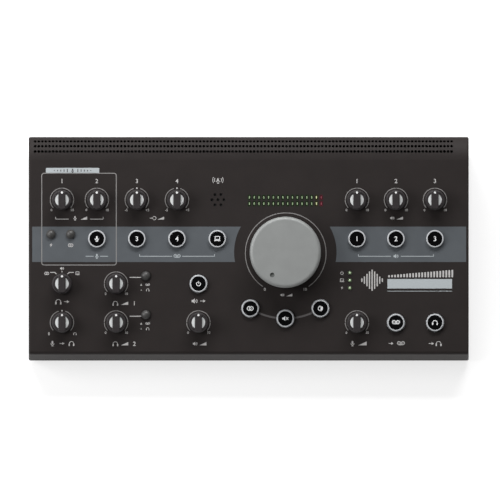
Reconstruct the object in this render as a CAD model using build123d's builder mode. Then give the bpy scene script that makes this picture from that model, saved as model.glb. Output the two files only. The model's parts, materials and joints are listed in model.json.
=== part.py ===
from build123d import *
from math import atan2, cos, degrees, radians, sin, sqrt
import os

os.makedirs("parts", exist_ok=True)

# A desktop studio monitor controller: a wedge-shaped folded steel case with a sloping control
# panel, a rounded and perforated hump along its back edge and all sockets on its rear panel.
# Millimetres, +X to the user's right, +Y to the rear, +Z up.  The origin is the middle of the
# footprint, in the plane that the rubber feet stand on.

# ---------------------------------------------------------------- case
case_width = 352.0
case_depth = 173.0
sheet = 1.2                      # steel sheet of the cover and the base plate
front_height = 27.0              # straight part of the front face
panel_slope = 10.0               # degrees between the control panel and the table
front_bend = 3.0                 # outer radii of the three bends of the cover
hump_radius = 24.0
hump_turn = 44.8                 # degrees of bend at hump_radius; the rear bend makes up the rest
rear_bend = 5.0
rear_lip = 2.0                   # straight lip of the cover below the rear bend
side_bend = 1.5                  # outer radius along the two side edges of the cover
flange_width = 10.0              # inward flanges that the base plate is screwed to
fit_gap = 0.3                    # clearance around pieces that drop into one another

foot_height = 5.0
foot_radius = 8.0
foot_inset_x = 22.0
foot_inset_y = 18.0
foot_taper = 1.0                 # a foot's bottom is this much smaller in radius than its top

# ---------------------------------------------------------------- vents in the hump
vent_diameter = 2.3
vent_pitch = 2.872
vent_left_inset = 5.1            # from the sides of the case to the middles of the first and last vents
vent_right_inset = 13.6
vent_start = 6.87                # along the bend, from the end of the panel to the first row
vent_spacing = 4.6               # from row to row

# ---------------------------------------------------------------- control panel layout
# Each place is (x, u): x across the panel, u up the slope from the front bend.
row_top = 120.9
row_source = 89.8
row_middle = 53.9
row_bottom = 22.8
far_left_inset = 26.6            # from the sides of the case to the outermost columns
far_right_inset = 27.0
monitor_pitch = 31.2             # between the three columns at the right
input_2_shift = 27.9             # the other columns at the left, from the far left one
phones_shift = 43.3
line_34_shift = 59.9
line_56_shift = 92.0
studio_shift = 109.2
computer_shift = 124.3

column_far_left = far_left_inset - case_width / 2
column_input_2 = column_far_left + input_2_shift
column_phones = column_far_left + phones_shift
column_line_34 = column_far_left + line_34_shift
column_line_56 = column_far_left + line_56_shift
column_studio = column_far_left + studio_shift
column_computer = column_far_left + computer_shift
column_c = case_width / 2 - far_right_inset
column_b = column_c - monitor_pitch
column_a = column_b - monitor_pitch

knob_places = {
    "gain_knob_1": (column_far_left, row_top),
    "gain_knob_2": (column_input_2, row_top),
    "trim_knob_34": (column_line_34, row_top),
    "trim_knob_56": (column_line_56, row_top),
    "trim_knob_a": (column_a, row_top),
    "trim_knob_b": (column_b, row_top),
    "trim_knob_c": (column_c, row_top),
    "cue_source_knob": (column_far_left, row_middle),
    "phones_knob_1": (column_phones, row_middle),
    "direct_monitor_knob": (column_far_left, row_bottom),
    "phones_knob_2": (column_phones, row_bottom),
    "studio_level_knob": (column_studio, row_bottom),
    "talkback_level_knob": (column_a, row_bottom),
}
selector_knob = "cue_source_knob"         # this one turns a rotary switch, the others turn pots

volume_x = 29.3
volume_u = 79.0
speaker_key_radius = 53.0                 # the three keys under the volume knob lie on this arc
speaker_key_step = 32.0                   # degrees between them


def around_volume(angle):
    """The place on the arc of the speaker keys at an angle from straight down."""
    swing = radians(angle)
    return (volume_x + speaker_key_radius * sin(swing), volume_u - speaker_key_radius * cos(swing))


key_places = {
    "source_key_12": (column_input_2, row_source),
    "source_key_34": (column_line_34, row_source),
    "source_key_56": (column_line_56, row_source),
    "source_key_computer": (column_computer, row_source),
    "monitor_key_a": (column_a, row_source),
    "monitor_key_b": (column_b, row_source),
    "monitor_key_c": (column_c, row_source),
    "studio_on_key": (column_studio, row_middle),
    "mono_key": around_volume(-speaker_key_step),
    "mute_key": around_volume(0.0),
    "dim_key": around_volume(speaker_key_step),
    "talk_to_tape_key": (column_b, row_bottom),
    "talk_to_cue_key": (column_c, row_bottom),
}

switch_row = 93.4
phantom_shift = -8.8             # the two microphone switches, from the far left column
mono_input_shift = 6.9
phones_switch_shift = 23.8                # from the phones column
phones_switch_x = column_phones + phones_switch_shift
phones_switch_lift = 6.2                  # the phones switches sit this much above their knobs
button_places = {
    "phantom_button": (column_far_left + phantom_shift, switch_row),
    "mono_input_button": (column_far_left + mono_input_shift, switch_row),
    "phones_source_button_1": (phones_switch_x, row_middle + phones_switch_lift),
    "phones_source_button_2": (phones_switch_x, row_bottom + phones_switch_lift),
}

# ---------------------------------------------------------------- small knobs
knob_base_radius = 8.2
knob_neck_radius = 7.7
knob_top_radius = 7.4
knob_gap = 0.8                   # between the panel and the knob's skirt
knob_skirt_height = 2.6           # top of the skirt, above the panel
knob_face = 11.6                 # height of the flat top above the panel
knob_bar_top = 14.0
knob_bar_width = 5.7
knob_bar_reach = 7.2
knob_edge = 0.5
insert_radius = 5.5              # pale disc set into the top, seen each side of the bar
insert_depth = 0.8
set_gap = 0.1                    # around the discs and dots that are set into knobs and keys
dot_radius = 1.0
dot_offset = 5.9
dot_depth = 0.4
shaft_radius = 3.0
shaft_top = 9.0                  # inside the cap
shaft_bottom = -8.0              # inside the pot
bushing_radius = 3.6
bushing_top = 0.2
shaft_hole_clearance = 0.8       # radial, in the cover
bearing_gap = 0.08               # radial running clearance of a shaft in its bushing

# ---------------------------------------------------------------- volume knob
volume_radius = 28.5
volume_height = 24.0
volume_gap = 1.0
volume_edge = 2.8
volume_wall = 2.4
volume_top_wall = 3.5
volume_hub_radius = 7.0
volume_hub_bottom = 5.0
volume_shaft_top = 17.0
volume_mark_radius = 1.9
volume_mark_depth = 0.9
volume_mark_offset = 21.0
volume_mark_angle = 210.0        # degrees clockwise from the top of the panel, at the low end
volume_bushing_radius = 4.6
volume_bushing_top = 4.2
volume_nut_across = 14.0
volume_nut_height = 2.0

# ---------------------------------------------------------------- lit keys
key_radius = 7.0
key_face_radius = 5.9
key_gap = 0.5                    # radial, in the cover
key_top = 3.0
key_face_depth = 1.0
key_face_sink = 0.25             # the black face lies this much below the rim
key_flange_radius = 8.2
key_flange_height = 1.0
key_travel = 1.6
key_edge = 0.6
key_stem_radius = 1.8
flange_play = 0.15               # between a key's flange and the underside of the panel

# ---------------------------------------------------------------- small push buttons
button_radius = 3.7
button_gap = 0.35
button_top = 3.6
button_dome = 2.2
button_flange_radius = 4.8
button_flange_height = 1.0
button_travel = 2.0
button_stem_radius = 1.6

# ---------------------------------------------------------------- panel indicators
led_columns = 16
led_pitch = 3.829
led_spread = 5.0                 # between the meter's two rows
led_row_centre = 120.4
led_window_width = 1.6
led_window_height = 3.2
led_clearance = 0.1
led_sink = 0.15                  # the pipes end this much inside the panel's surface
meter_pipe_length = 7.0
meter_margin = 3.0
status_led_shift = -5.7          # from the first of the three monitor columns
status_led_centre = 56.5
status_led_pitch = 6.04
status_led_radius = 1.5
status_led_foot = 1.9
mic_shift = -53.9                # from the volume knob's axis
mic_u = 121.0
mic_hole_radius = 1.15
mic_ring_radius = 4.8
mic_radius = 4.85
mic_height = 5.2
mic_boot_wall = 1.5

# ---------------------------------------------------------------- control board
board = 1.6
board_depth = 11.0               # outer panel surface to the top of the control board
board_margin_x = 8.0
board_front = 4.0
board_rear = 133.0
pot_width = 10.4
pot_length = 11.0
pot_height = 6.6
switch_body = 9.0
switch_height = 4.4
switch_floor = 0.4
stem_play = 0.3                  # left under a stem when its key is fully in
selector_body = 14.0
volume_pot_body = 18.0
volume_pot_height = 7.5
stud_radius = 2.5
stud_inset = 3.0                 # from the sides of the board
stud_front = 8.0
stud_left_rear = 105.0
stud_right_rear = 128.0
stud_middle_rear = 126.0
stud_middle_shift = -40.3        # from the volume knob's axis
screw_radius = 1.5
screw_head_radius = 2.8
screw_head_height = 1.8
screw_length = 5.0
press_nut_radius = 3.0
press_nut_height = 1.5

# ---------------------------------------------------------------- rear panel and its sockets
# The sockets are spaced along the rear panel in steps, so that they keep their order in any case.
rear_step = case_width / 88
combo_inset = 6 * rear_step      # from the left side of the case to the first combined socket
combo_pitch = 8 * rear_step
combo_to_line = 7 * rear_step
jack_pitch = 5 * rear_step
jack_group_pitch = 6 * rear_step
pedal_to_usb = 5 * rear_step
usb_to_rocker = 6 * rear_step
rocker_to_dc = 7 * rear_step

combo_left = combo_inset - case_width / 2
combo_right = combo_left + combo_pitch
line_jacks_start = combo_right + combo_to_line            # four columns, a gap and three columns
out_jacks_start = line_jacks_start + 3 * jack_pitch + jack_group_pitch
phones_jack_column = out_jacks_start + 2 * jack_pitch + jack_group_pitch
pedal_jack_column = phones_jack_column + jack_pitch
usb_x = pedal_jack_column + pedal_to_usb
rocker_x = usb_x + usb_to_rocker
dc_x = rocker_x + rocker_to_dc

rear_sheet = 1.5
rear_recess = 3.0                # the rear panel lies this far inside the case's back edge
rear_board_lift = 5.0            # spacers between the base plate and the rear board
rear_board_length = 62.0
rear_support_inset = 5.0
rear_support_inset_x = 6.0
rear_screw_left_inset = 81.0     # from the sides of the case
rear_screw_right_inset = 67.0
jack_width = 15.5
jack_height = 14.5
jack_length = 28.0
jack_bore = 3.2                  # radius of a 6.35 mm socket
jack_bore_length = 22.0
jack_mouth = 3.7
jack_nose = 4.5
jack_nose_length = 2.5           # beyond the outside of the rear panel
jack_nut_across = 12.0
jack_nut_height = 2.0
mouth_overlap = 0.6              # the wide mouth runs this far behind the rear panel
combo_width = 26.0
combo_height = 31.0
combo_length = 25.0
combo_nose = 11.8
combo_nose_length = 0.5
combo_groove_outer = 9.4
combo_core = 7.6
combo_groove_depth = 12.0
combo_pin_reach = 5.3
combo_pin_radius = 1.2
usb_shell_width = 12.0
usb_shell_height = 10.9
usb_shell_length = 16.0
usb_opening_width = 8.5
usb_opening_height = 7.8
usb_tongue_width = 5.6
usb_tongue_height = 3.2
usb_nose_length = 0.8
usb_wall = 1.6
rocker_z = 28.0
rocker_cutout_width = 13.2
rocker_cutout_height = 19.4
rocker_flange = 1.2              # the bezel laps over the cutout by this much all round
rocker_bezel_height = 1.0
rocker_bezel_edge = 0.5
rocker_body_length = 15.0
rocker_width = 9.6
rocker_half = 7.9                # half height of the rocker
rocker_tilt = 7.5                # degrees each side of level
rocker_axle_radius = 1.1
rocker_axle_length = 11.6
rocker_pivot_depth = 2.3         # pivot behind the outside of the rear panel
rocker_dip = 2.4
rocker_tip = 4.0
rocker_reach = 6.8
rocker_root = 2.5
rocker_well = 6.5
rocker_fit = 0.1                 # body in the rear panel's cutout
rocker_clearance = 0.3           # rocker in the body's well
dc_body_width = 9.0
dc_body_height = 11.0
dc_body_length = 14.0
dc_bore = 3.1
dc_pin = 1.05
dc_wall = 1.2
dc_nose_length = 0.5

socket_gap = 0.2                 # around a socket's nose in the rear panel

# ---------------------------------------------------------------- inside the case
ribbon_x = 66.0
ribbon_u = 96.0
ribbon_width = 26.0
ribbon_thickness = 1.0
ribbon_run = 5.0
ribbon_bend = 3.0
connector_wall = 2.0
connector_height = 5.0
connector_depth = 8.0
relay_count = 6
relay_start = -6 * rear_step
relay_pitch = 4 * rear_step
relay_width = 7.5
relay_length = 15.0
relay_height = 9.5
capacitor_left_start = combo_left
capacitor_right_start = rocker_x
capacitor_pitch = 3.5 * rear_step
capacitor_radius = 5.0
capacitor_height = 12.5
chip_columns = [-18 * rear_step, -12 * rear_step, 22 * rear_step]
chip_size = 12.0
chip_height = 1.6

# ---------------------------------------------------------------- worked out from the sizes above
slope = radians(panel_slope)
tail = radians(hump_turn - panel_slope)   # direction, below level, in which the hump ends
front_y = -case_depth / 2
rear_y = case_depth / 2
base_z = foot_height
bend_z = base_z + front_height
bends_depth = (front_bend * (1 - sin(slope)) + hump_radius * (sin(slope) + sin(tail))
               + rear_bend * (1 - sin(tail)))
panel_length = (case_depth - bends_depth) / cos(slope)
panel_start = (front_y + front_bend * (1 - sin(slope)), bend_z + front_bend * cos(slope))
panel_end = (panel_start[0] + panel_length * cos(slope), panel_start[1] + panel_length * sin(slope))
hump_centre = (panel_end[0] + hump_radius * sin(slope), panel_end[1] - hump_radius * cos(slope))
rear_bend_centre_z = hump_centre[1] + (hump_radius - rear_bend) * cos(tail)

# The control panel's own frame: X across, local Y up the slope, local Z out of its outer face.
panel = Plane(origin=(0, panel_start[0], panel_start[1]), x_dir=(1, 0, 0), z_dir=(0, -sin(slope), cos(slope)))
volume_place = (volume_x, volume_u)
mic_place = (volume_x + mic_shift, mic_u)
status_led_x = column_a + status_led_shift
stud_middle_x = volume_x + stud_middle_shift

# Controls are made upright at the world's origin and copied to their places on the panel.
level = Plane.XY
upright = Plane.XZ                        # local X across, local Y out of the panel
middle = (0, 0)
quarter_turn = 90                         # degrees

floor_z = base_z + sheet                  # top of the base plate
inner_x = case_width / 2 - sheet
vent_columns = int((case_width - vent_left_inset - vent_right_inset) / vent_pitch) + 1
vent_centre_x = (vent_left_inset - vent_right_inset) / 2
cover_screw_spread = case_width / 3
cover_screw_front = -case_depth / 6
cover_screw_rear = case_depth / 3
board_half = case_width / 2 - board_margin_x
stud_x = board_half - stud_inset
stud_places = [(-stud_x, stud_front), (0, stud_front), (stud_x, stud_front), (-stud_x, stud_left_rear),
               (stud_middle_x, stud_middle_rear), (stud_x, stud_right_rear)]
rear_support_x = board_half - rear_support_inset_x
rear_support_columns = [-rear_support_x, -24 * rear_step, 0, 26 * rear_step, rear_support_x]
line_jack_columns = ([line_jacks_start + count * jack_pitch for count in range(4)]
                     + [out_jacks_start + count * jack_pitch for count in range(3)])
combo_columns = [combo_left, combo_right]
relay_columns = [relay_start + count * relay_pitch for count in range(relay_count)]
capacitor_columns = ([capacitor_left_start + count * capacitor_pitch for count in range(4)]
                     + [capacitor_right_start + count * capacitor_pitch for count in range(3)])
rear_face = rear_y - rear_recess          # outside of the rear panel
rear_inside = rear_face - rear_sheet
rear_board_top = floor_z + sheet + rear_board_lift + board
connector_y = rear_inside - rear_board_length + connector_depth
parts_y = (rear_inside - jack_length + connector_y + connector_depth / 2) / 2
lower_jack_z = rear_board_top + jack_height / 2
upper_jack_z = lower_jack_z + jack_height
combo_z = rear_board_top + combo_height / 2
rocker_pivot_y = rear_face - rocker_pivot_depth

# A 6.35 mm socket is a wide mouth and then the bore: (radius, start beyond the rear panel, depth).
mouth_end = rear_sheet + mouth_overlap
socket_steps = [(jack_mouth, jack_nose_length, jack_nose_length + mouth_end),
                (jack_bore, -mouth_end, jack_bore_length)]
key_stem_bottom = switch_floor + key_travel + stem_play - board_depth
button_stem_bottom = switch_floor + button_travel + stem_play - board_depth


def save(piece, name):
    """Label one finished sub-part and write it."""
    piece.label = name
    export_step(piece, f"parts/{name}.step")


def at_height(height):
    """The control panel's plane, moved out along its normal."""
    return panel.offset(height)


def case_outline(inset):
    """Closed side view of the case, inset by a sheet thickness or nothing, in the current line."""
    front = Line((front_y + inset, base_z), (front_y + inset, bend_z))
    lower = JernArc(start=front @ 1, tangent=front % 1, radius=front_bend - inset,
                    arc_size=panel_slope - quarter_turn)
    top = PolarLine(start=lower @ 1, length=panel_length, angle=panel_slope)
    hump = JernArc(start=top @ 1, tangent=top % 1, radius=hump_radius - inset, arc_size=-hump_turn)
    back = JernArc(start=hump @ 1, tangent=hump % 1, radius=rear_bend - inset,
                   arc_size=hump_turn - panel_slope - quarter_turn)
    down = Line(back @ 1, (rear_y - inset, base_z))
    Line(down @ 1, front @ 0)


# ================================================================ case
def make_top_cover():
    """Folded cover: front, sloping panel, perforated hump and both side walls in one sheet."""
    with BuildPart() as cover:
        with BuildSketch(Plane.YZ.offset(-case_width / 2)):
            with BuildLine():
                case_outline(0)
            make_face()
        extrude(amount=case_width)
        sides = cover.faces().sort_by(Axis.X)
        side_edges = sides[0].edges() + sides[-1].edges()
        fillet([edge for edge in side_edges if edge.center().Z > base_z + sheet], side_bend)
        with BuildSketch(Plane.YZ.offset(-inner_x)):
            with BuildLine():
                case_outline(sheet)
            make_face()
        extrude(amount=2 * inner_x, mode=Mode.SUBTRACT)
        # The back is open below the lip.
        lip_z = rear_bend_centre_z - rear_lip
        with BuildSketch(Plane.XY.offset(base_z)):
            with Locations((0, rear_y)):
                Rectangle(2 * inner_x, 4 * sheet)
        extrude(amount=lip_z - base_z, mode=Mode.SUBTRACT)
        # Inward flanges above the base plate, along the front and both sides.
        with BuildSketch(Plane.XY.offset(floor_z)):
            with Locations((0, front_y + sheet + flange_width / 2)):
                Rectangle(2 * inner_x, flange_width)
            with Locations((-inner_x + flange_width / 2, -flange_width / 2),
                           (inner_x - flange_width / 2, -flange_width / 2)):
                Rectangle(flange_width, case_depth - 2 * sheet - flange_width)
        extrude(amount=sheet)
        # Holes for everything that comes through the panel.
        with BuildSketch(at_height(sheet)):
            with Locations(*knob_places.values()):
                Circle(shaft_radius + shaft_hole_clearance)
            with Locations(*key_places.values()):
                Circle(key_radius + key_gap)
            with Locations(*button_places.values()):
                Circle(button_radius + button_gap)
            with Locations(volume_place):
                Circle(volume_bushing_radius + socket_gap)
            led_windows(0)
            with Locations((status_led_x, status_led_centre)):
                with GridLocations(1, status_led_pitch, 1, 3):
                    Circle(status_led_radius + led_clearance)
            with Locations(mic_place):
                Circle(mic_hole_radius)
                with PolarLocations(mic_ring_radius, 6):
                    Circle(mic_hole_radius)
        extrude(amount=-3 * sheet, mode=Mode.SUBTRACT)
        # Three rows of round vents, each drilled square to the bend.
        for count in range(3):
            lean = (vent_start + count * vent_spacing) / hump_radius - slope
            middle = (vent_centre_x, hump_centre[0] + hump_radius * sin(lean),
                      hump_centre[1] + hump_radius * cos(lean))
            row = Plane(origin=middle, x_dir=(1, 0, 0), z_dir=(0, sin(lean), cos(lean)))
            with BuildSketch(row.offset(sheet)):
                with GridLocations(vent_pitch, 1, vent_columns, 1):
                    Circle(vent_diameter / 2)
            extrude(amount=-3 * sheet, mode=Mode.SUBTRACT)
        # Screw holes in the flanges.
        with BuildSketch(Plane.XY.offset(floor_z)):
            with Locations(*cover_screw_places()):
                Circle(screw_radius + bearing_gap)
        extrude(amount=sheet, mode=Mode.SUBTRACT)
    return cover.part


def cover_screw_places():
    """Where the base plate is screwed up into the cover's flanges."""
    side = inner_x - flange_width / 2
    front = front_y + sheet + flange_width / 2
    sides = [(x, y) for x in (-side, side) for y in (cover_screw_front, cover_screw_rear)]
    return sides + [(x, front) for x in (-cover_screw_spread, 0, cover_screw_spread)]


def rear_screw_places():
    """Where the base plate is screwed up into the rear panel's bottom flange."""
    columns = (rear_screw_left_inset - case_width / 2, case_width / 2 - rear_screw_right_inset)
    return [(x, rear_inside - flange_width / 2) for x in columns]


def rear_board_support_places():
    """Spacers along the front edge of the rear board."""
    near = rear_inside - rear_board_length + rear_support_inset
    return [(x, near) for x in rear_support_columns]


def foot_places():
    """The four rubber feet."""
    return [(sx * (case_width / 2 - foot_inset_x), sy * (case_depth / 2 - foot_inset_y))
            for sx in (-1, 1) for sy in (-1, 1)]


def make_base_plate():
    """Flat steel plate that closes the case from below."""
    with BuildPart() as base:
        with BuildSketch(Plane.XY.offset(base_z)):
            with Locations((0, (front_y + sheet + fit_gap + rear_face) / 2)):
                Rectangle(2 * (inner_x - fit_gap), rear_face - front_y - sheet - fit_gap)
            with Locations(*cover_screw_places(), *rear_screw_places()):
                Circle(screw_radius + bearing_gap, mode=Mode.SUBTRACT)
        extrude(amount=sheet)
    return base.part


def make_rear_panel():
    """Plate with every socket's hole and a bottom flange on the base plate."""
    top_z = rear_bend_centre_z + sqrt((rear_bend - sheet) ** 2 - (rear_bend - rear_recess) ** 2) - fit_gap
    with BuildPart() as plate:
        with BuildSketch(Plane.XZ.offset(-rear_face)):
            with Locations((0, (floor_z + top_z) / 2)):
                Rectangle(2 * (inner_x - fit_gap), top_z - floor_z)
            with Locations(*jack_places()):
                Circle(jack_nose + socket_gap, mode=Mode.SUBTRACT)
            with Locations(*[(x, combo_z) for x in combo_columns]):
                Circle(combo_nose + socket_gap, mode=Mode.SUBTRACT)
            with Locations((usb_x, rear_board_top + usb_shell_height / 2)):
                Rectangle(usb_shell_width + 2 * socket_gap, usb_shell_height + 2 * socket_gap,
                          mode=Mode.SUBTRACT)
            with Locations((dc_x, rear_board_top + dc_body_height / 2)):
                Circle(dc_bore + dc_wall + socket_gap, mode=Mode.SUBTRACT)
            with Locations((rocker_x, rocker_z)):
                Rectangle(rocker_cutout_width, rocker_cutout_height, mode=Mode.SUBTRACT)
        extrude(amount=rear_sheet)
        with BuildSketch(Plane.XY.offset(floor_z)):
            with Locations((0, rear_inside - flange_width / 2)):
                Rectangle(2 * (inner_x - flange_width - fit_gap), flange_width)
            with Locations(*rear_screw_places()):
                Circle(screw_radius + bearing_gap, mode=Mode.SUBTRACT)
        extrude(amount=sheet)
    return plate.part


def jack_places():
    """Every 6.35 mm socket of the rear panel, as (x, z)."""
    stacked = [(x, z) for x in line_jack_columns + [phones_jack_column] for z in (lower_jack_z, upper_jack_z)]
    return stacked + [(pedal_jack_column, lower_jack_z)]


def make_feet():
    """Four rubber feet, slightly narrower at the bottom."""
    with BuildPart() as feet:
        with BuildSketch(Plane.XY):
            with Locations(*foot_places()):
                Circle(foot_radius - foot_taper)
        extrude(amount=foot_height, taper=-degrees(atan2(foot_taper, foot_height)))
    return feet.part


def make_case_screws():
    """Pan-head screws driven up through the base plate."""
    with BuildPart() as screws:
        with BuildSketch(Plane.XY.offset(base_z)):
            with Locations(*cover_screw_places(), *rear_screw_places()):
                Circle(screw_radius)
        extrude(amount=screw_length)
        with BuildSketch(Plane.XY.offset(base_z)):
            with Locations(*cover_screw_places(), *rear_screw_places()):
                Circle(screw_head_radius)
        extrude(amount=-screw_head_height)
    return screws.part


def make_press_nuts():
    """Round nuts pressed into the flanges, one above each case screw."""
    with BuildPart() as nuts:
        with BuildSketch(Plane.XY.offset(floor_z + sheet)):
            with Locations(*cover_screw_places(), *rear_screw_places()):
                Circle(press_nut_radius)
                Circle(screw_radius, mode=Mode.SUBTRACT)
        extrude(amount=press_nut_height)
    return nuts.part


# ================================================================ controls
def at_place(piece, place):
    """A copy of a piece that was made upright at the world's origin, moved to its place on the panel."""
    return piece.moved(panel.location * Location((place[0], place[1], 0)))


def post(place, radius, low, high):
    """Round upright post at the world's origin, from one height above the panel to another."""
    with BuildPart() as round_post:
        with BuildSketch(level.offset(low)):
            with Locations(place):
                Circle(radius)
        extrude(amount=high - low)
    return round_post.part


def crescents(gap):
    """The two parts of the pale disc that the grip bar leaves in view, in the current sketch."""
    Circle(insert_radius - gap)
    Rectangle(knob_bar_width + 2 * gap, 3 * insert_radius, mode=Mode.SUBTRACT)


def make_grip():
    """The raised bar of a small knob, from the floor of the disc's pocket to its rounded top edge."""
    with BuildPart() as grip:
        with BuildSketch(level.offset(knob_face - insert_depth)):
            Circle(knob_bar_reach)
            Rectangle(knob_bar_width, 3 * knob_bar_reach, mode=Mode.INTERSECT)
        extrude(amount=knob_bar_top - knob_face + insert_depth)
        fillet(grip.faces().sort_by(Axis.Z)[-1].edges(), knob_edge)
    return grip.part


def make_knob():
    """Small knob: skirted cap with a grip bar, a pale disc under it, a white dot and the shaft."""
    dot_place = (0, dot_offset)
    with BuildPart() as cap:
        with BuildSketch(upright):
            with BuildLine():
                Polyline((shaft_radius, knob_gap), (knob_base_radius, knob_gap),
                         (knob_base_radius, knob_skirt_height),
                         (knob_neck_radius, knob_skirt_height + knob_edge), (knob_top_radius, knob_face),
                         (0, knob_face), (0, shaft_top), (shaft_radius, shaft_top), close=True)
            make_face()
        revolve(axis=Axis.Z)
        fillet(cap.edges().filter_by(GeomType.CIRCLE).sort_by(Axis.Z)[-1], knob_edge)
        with BuildSketch(level.offset(knob_face - insert_depth)):
            crescents(0)
        extrude(amount=2 * insert_depth, mode=Mode.SUBTRACT)
        add(make_grip())
        with BuildSketch(level.offset(knob_bar_top - dot_depth)):
            with Locations(dot_place):
                Circle(dot_radius)
        extrude(amount=2 * dot_depth, mode=Mode.SUBTRACT)
    with BuildPart() as inserts:
        with BuildSketch(level.offset(knob_face - insert_depth)):
            crescents(set_gap)
        extrude(amount=insert_depth)
    dot = post(dot_place, dot_radius - set_gap, knob_bar_top - dot_depth, knob_bar_top)
    shaft = post(middle, shaft_radius, shaft_bottom, shaft_top)
    return Compound(cap.part.solids() + inserts.part.solids() + dot.solids() + shaft.solids())


def make_volume_knob():
    """Large hollow knob with a rounded top edge, a hub on the shaft and a dimple as its mark."""
    inside = volume_height - volume_top_wall
    with BuildPart() as knob:
        with BuildSketch(upright):
            with BuildLine():
                side = Line((volume_radius, volume_gap), (volume_radius, volume_height - volume_edge))
                edge = JernArc(start=side @ 1, tangent=side % 1, radius=volume_edge,
                               arc_size=quarter_turn)
                Polyline(edge @ 1, (0, volume_height), (0, volume_shaft_top),
                         (shaft_radius, volume_shaft_top), (shaft_radius, volume_hub_bottom),
                         (volume_hub_radius, volume_hub_bottom),
                         (volume_hub_radius, inside), (volume_radius - volume_wall, inside),
                         (volume_radius - volume_wall, volume_gap), side @ 0)
            make_face()
        revolve(axis=Axis.Z)
        turn = radians(volume_mark_angle)
        ball = (volume_mark_radius ** 2 + volume_mark_depth ** 2) / (2 * volume_mark_depth)
        with Locations((volume_mark_offset * sin(turn), volume_mark_offset * cos(turn),
                        volume_height + ball - volume_mark_depth)):
            Sphere(ball, mode=Mode.SUBTRACT)
    return knob.part


def make_key():
    """Lit key: clear cap with a retaining flange and a stem, and the black face set into its top."""
    flange_top = -sheet - flange_play
    with BuildPart() as cap:
        with BuildSketch(upright):
            with BuildLine():
                Polyline((0, key_stem_bottom), (key_stem_radius, key_stem_bottom),
                         (key_stem_radius, flange_top - key_flange_height),
                         (key_flange_radius, flange_top - key_flange_height), (key_flange_radius, flange_top),
                         (key_radius, flange_top), (key_radius, key_top), (key_face_radius, key_top),
                         (key_face_radius, key_top - key_face_depth), (0, key_top - key_face_depth),
                         close=True)
            make_face()
        revolve(axis=Axis.Z)
        rim = cap.edges().filter_by(GeomType.CIRCLE).group_by(Axis.Z)[-1].sort_by(SortBy.RADIUS)[-1]
        fillet(rim, key_edge)
    face = post(middle, key_face_radius - set_gap, key_top - key_face_depth, key_top - key_face_sink)
    return Compound(cap.part.solids() + face.solids())


def make_button():
    """Small domed push button with a retaining flange and a stem."""
    flange_top = -sheet - flange_play
    with BuildPart() as button:
        with BuildSketch(upright):
            with BuildLine():
                dome = ThreePointArc((button_radius, button_top - button_dome), dome_point(button_radius / 2),
                                     (0, button_top))
                Polyline(dome @ 1, (0, button_stem_bottom), (button_stem_radius, button_stem_bottom),
                         (button_stem_radius, flange_top - button_flange_height),
                         (button_flange_radius, flange_top - button_flange_height),
                         (button_flange_radius, flange_top), (button_radius, flange_top), dome @ 0)
            make_face()
        revolve(axis=Axis.Z)
    return button.part


def dome_point(reach):
    """A point of the push button's dome at a distance from its axis."""
    ball = (button_radius ** 2 + button_dome ** 2) / (2 * button_dome)
    return (reach, button_top - ball + sqrt(ball ** 2 - reach ** 2))


# ================================================================ control board and what it carries
def make_control_board():
    """Circuit board under the panel, parallel to it."""
    with BuildPart() as pcb:
        with BuildSketch(at_height(-board_depth)):
            with Locations((0, (board_front + board_rear) / 2)):
                Rectangle(2 * board_half, board_rear - board_front)
            with Locations(*stud_places):
                Circle(screw_radius + bearing_gap, mode=Mode.SUBTRACT)
        extrude(amount=-board)
    return pcb.part


def make_pot(width, length, height, bushing, bushing_end):
    """Board-mounted rotary control: a body and a round bushing that the shaft turns in."""
    with BuildPart() as pot:
        with BuildSketch(level.offset(-board_depth)):
            Rectangle(width, length)
        extrude(amount=height)
        with BuildSketch(level.offset(height - board_depth)):
            Circle(bushing)
        extrude(amount=bushing_end + board_depth - height)
        with BuildSketch(level.offset(bushing_end)):
            Circle(shaft_radius + bearing_gap)
        extrude(amount=shaft_bottom - bearing_gap - bushing_end, mode=Mode.SUBTRACT)
    return pot.part


def make_knob_pots():
    """The twelve small pots, one under each small knob but the selector."""
    pot = make_pot(pot_width, pot_length, pot_height, bushing_radius, bushing_top)
    places = [place for name, place in knob_places.items() if name != selector_knob]
    return Compound([solid for place in places for solid in at_place(pot, place).solids()])


def make_cue_selector():
    """The rotary switch under the three-position knob."""
    switch = make_pot(selector_body, selector_body, pot_height, bushing_radius, bushing_top)
    return at_place(switch, knob_places[selector_knob])


def make_volume_pot():
    """Large pot with a threaded bushing, and the hexagonal nut that clamps it to the panel."""
    pot = make_pot(volume_pot_body, volume_pot_body, volume_pot_height,
                   volume_bushing_radius, volume_bushing_top)
    with BuildPart() as nut:
        with BuildSketch(level):
            RegularPolygon(volume_nut_across / 2, 6, major_radius=False)
            Circle(volume_bushing_radius, mode=Mode.SUBTRACT)
        extrude(amount=volume_nut_height)
    return at_place(Compound(pot.solids() + nut.part.solids()), volume_place)


def make_switches(places, width, stem):
    """Square switch bodies with a round well for each stem."""
    with BuildPart() as switches:
        with BuildSketch(at_height(-board_depth)):
            with Locations(*places):
                Rectangle(width, width)
        extrude(amount=switch_height)
        with BuildSketch(at_height(switch_height - board_depth)):
            with Locations(*places):
                Circle(stem + bearing_gap)
        extrude(amount=switch_floor - switch_height, mode=Mode.SUBTRACT)
    return switches.part


def led_windows(margin, mode=Mode.ADD):
    """The meter's windows, shrunk all round by a margin, in the current sketch."""
    with Locations((volume_x, led_row_centre)):
        with GridLocations(led_pitch, led_spread, led_columns, 2):
            Rectangle(led_window_width - 2 * margin, led_window_height - 2 * margin, mode=mode)


def make_meter_lights():
    """Light pipes of the two-row level meter, ending just inside the panel's surface."""
    with BuildPart() as lights:
        with BuildSketch(at_height(-meter_pipe_length)):
            led_windows(led_clearance)
        extrude(amount=meter_pipe_length - led_sink)
    return lights.part


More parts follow.
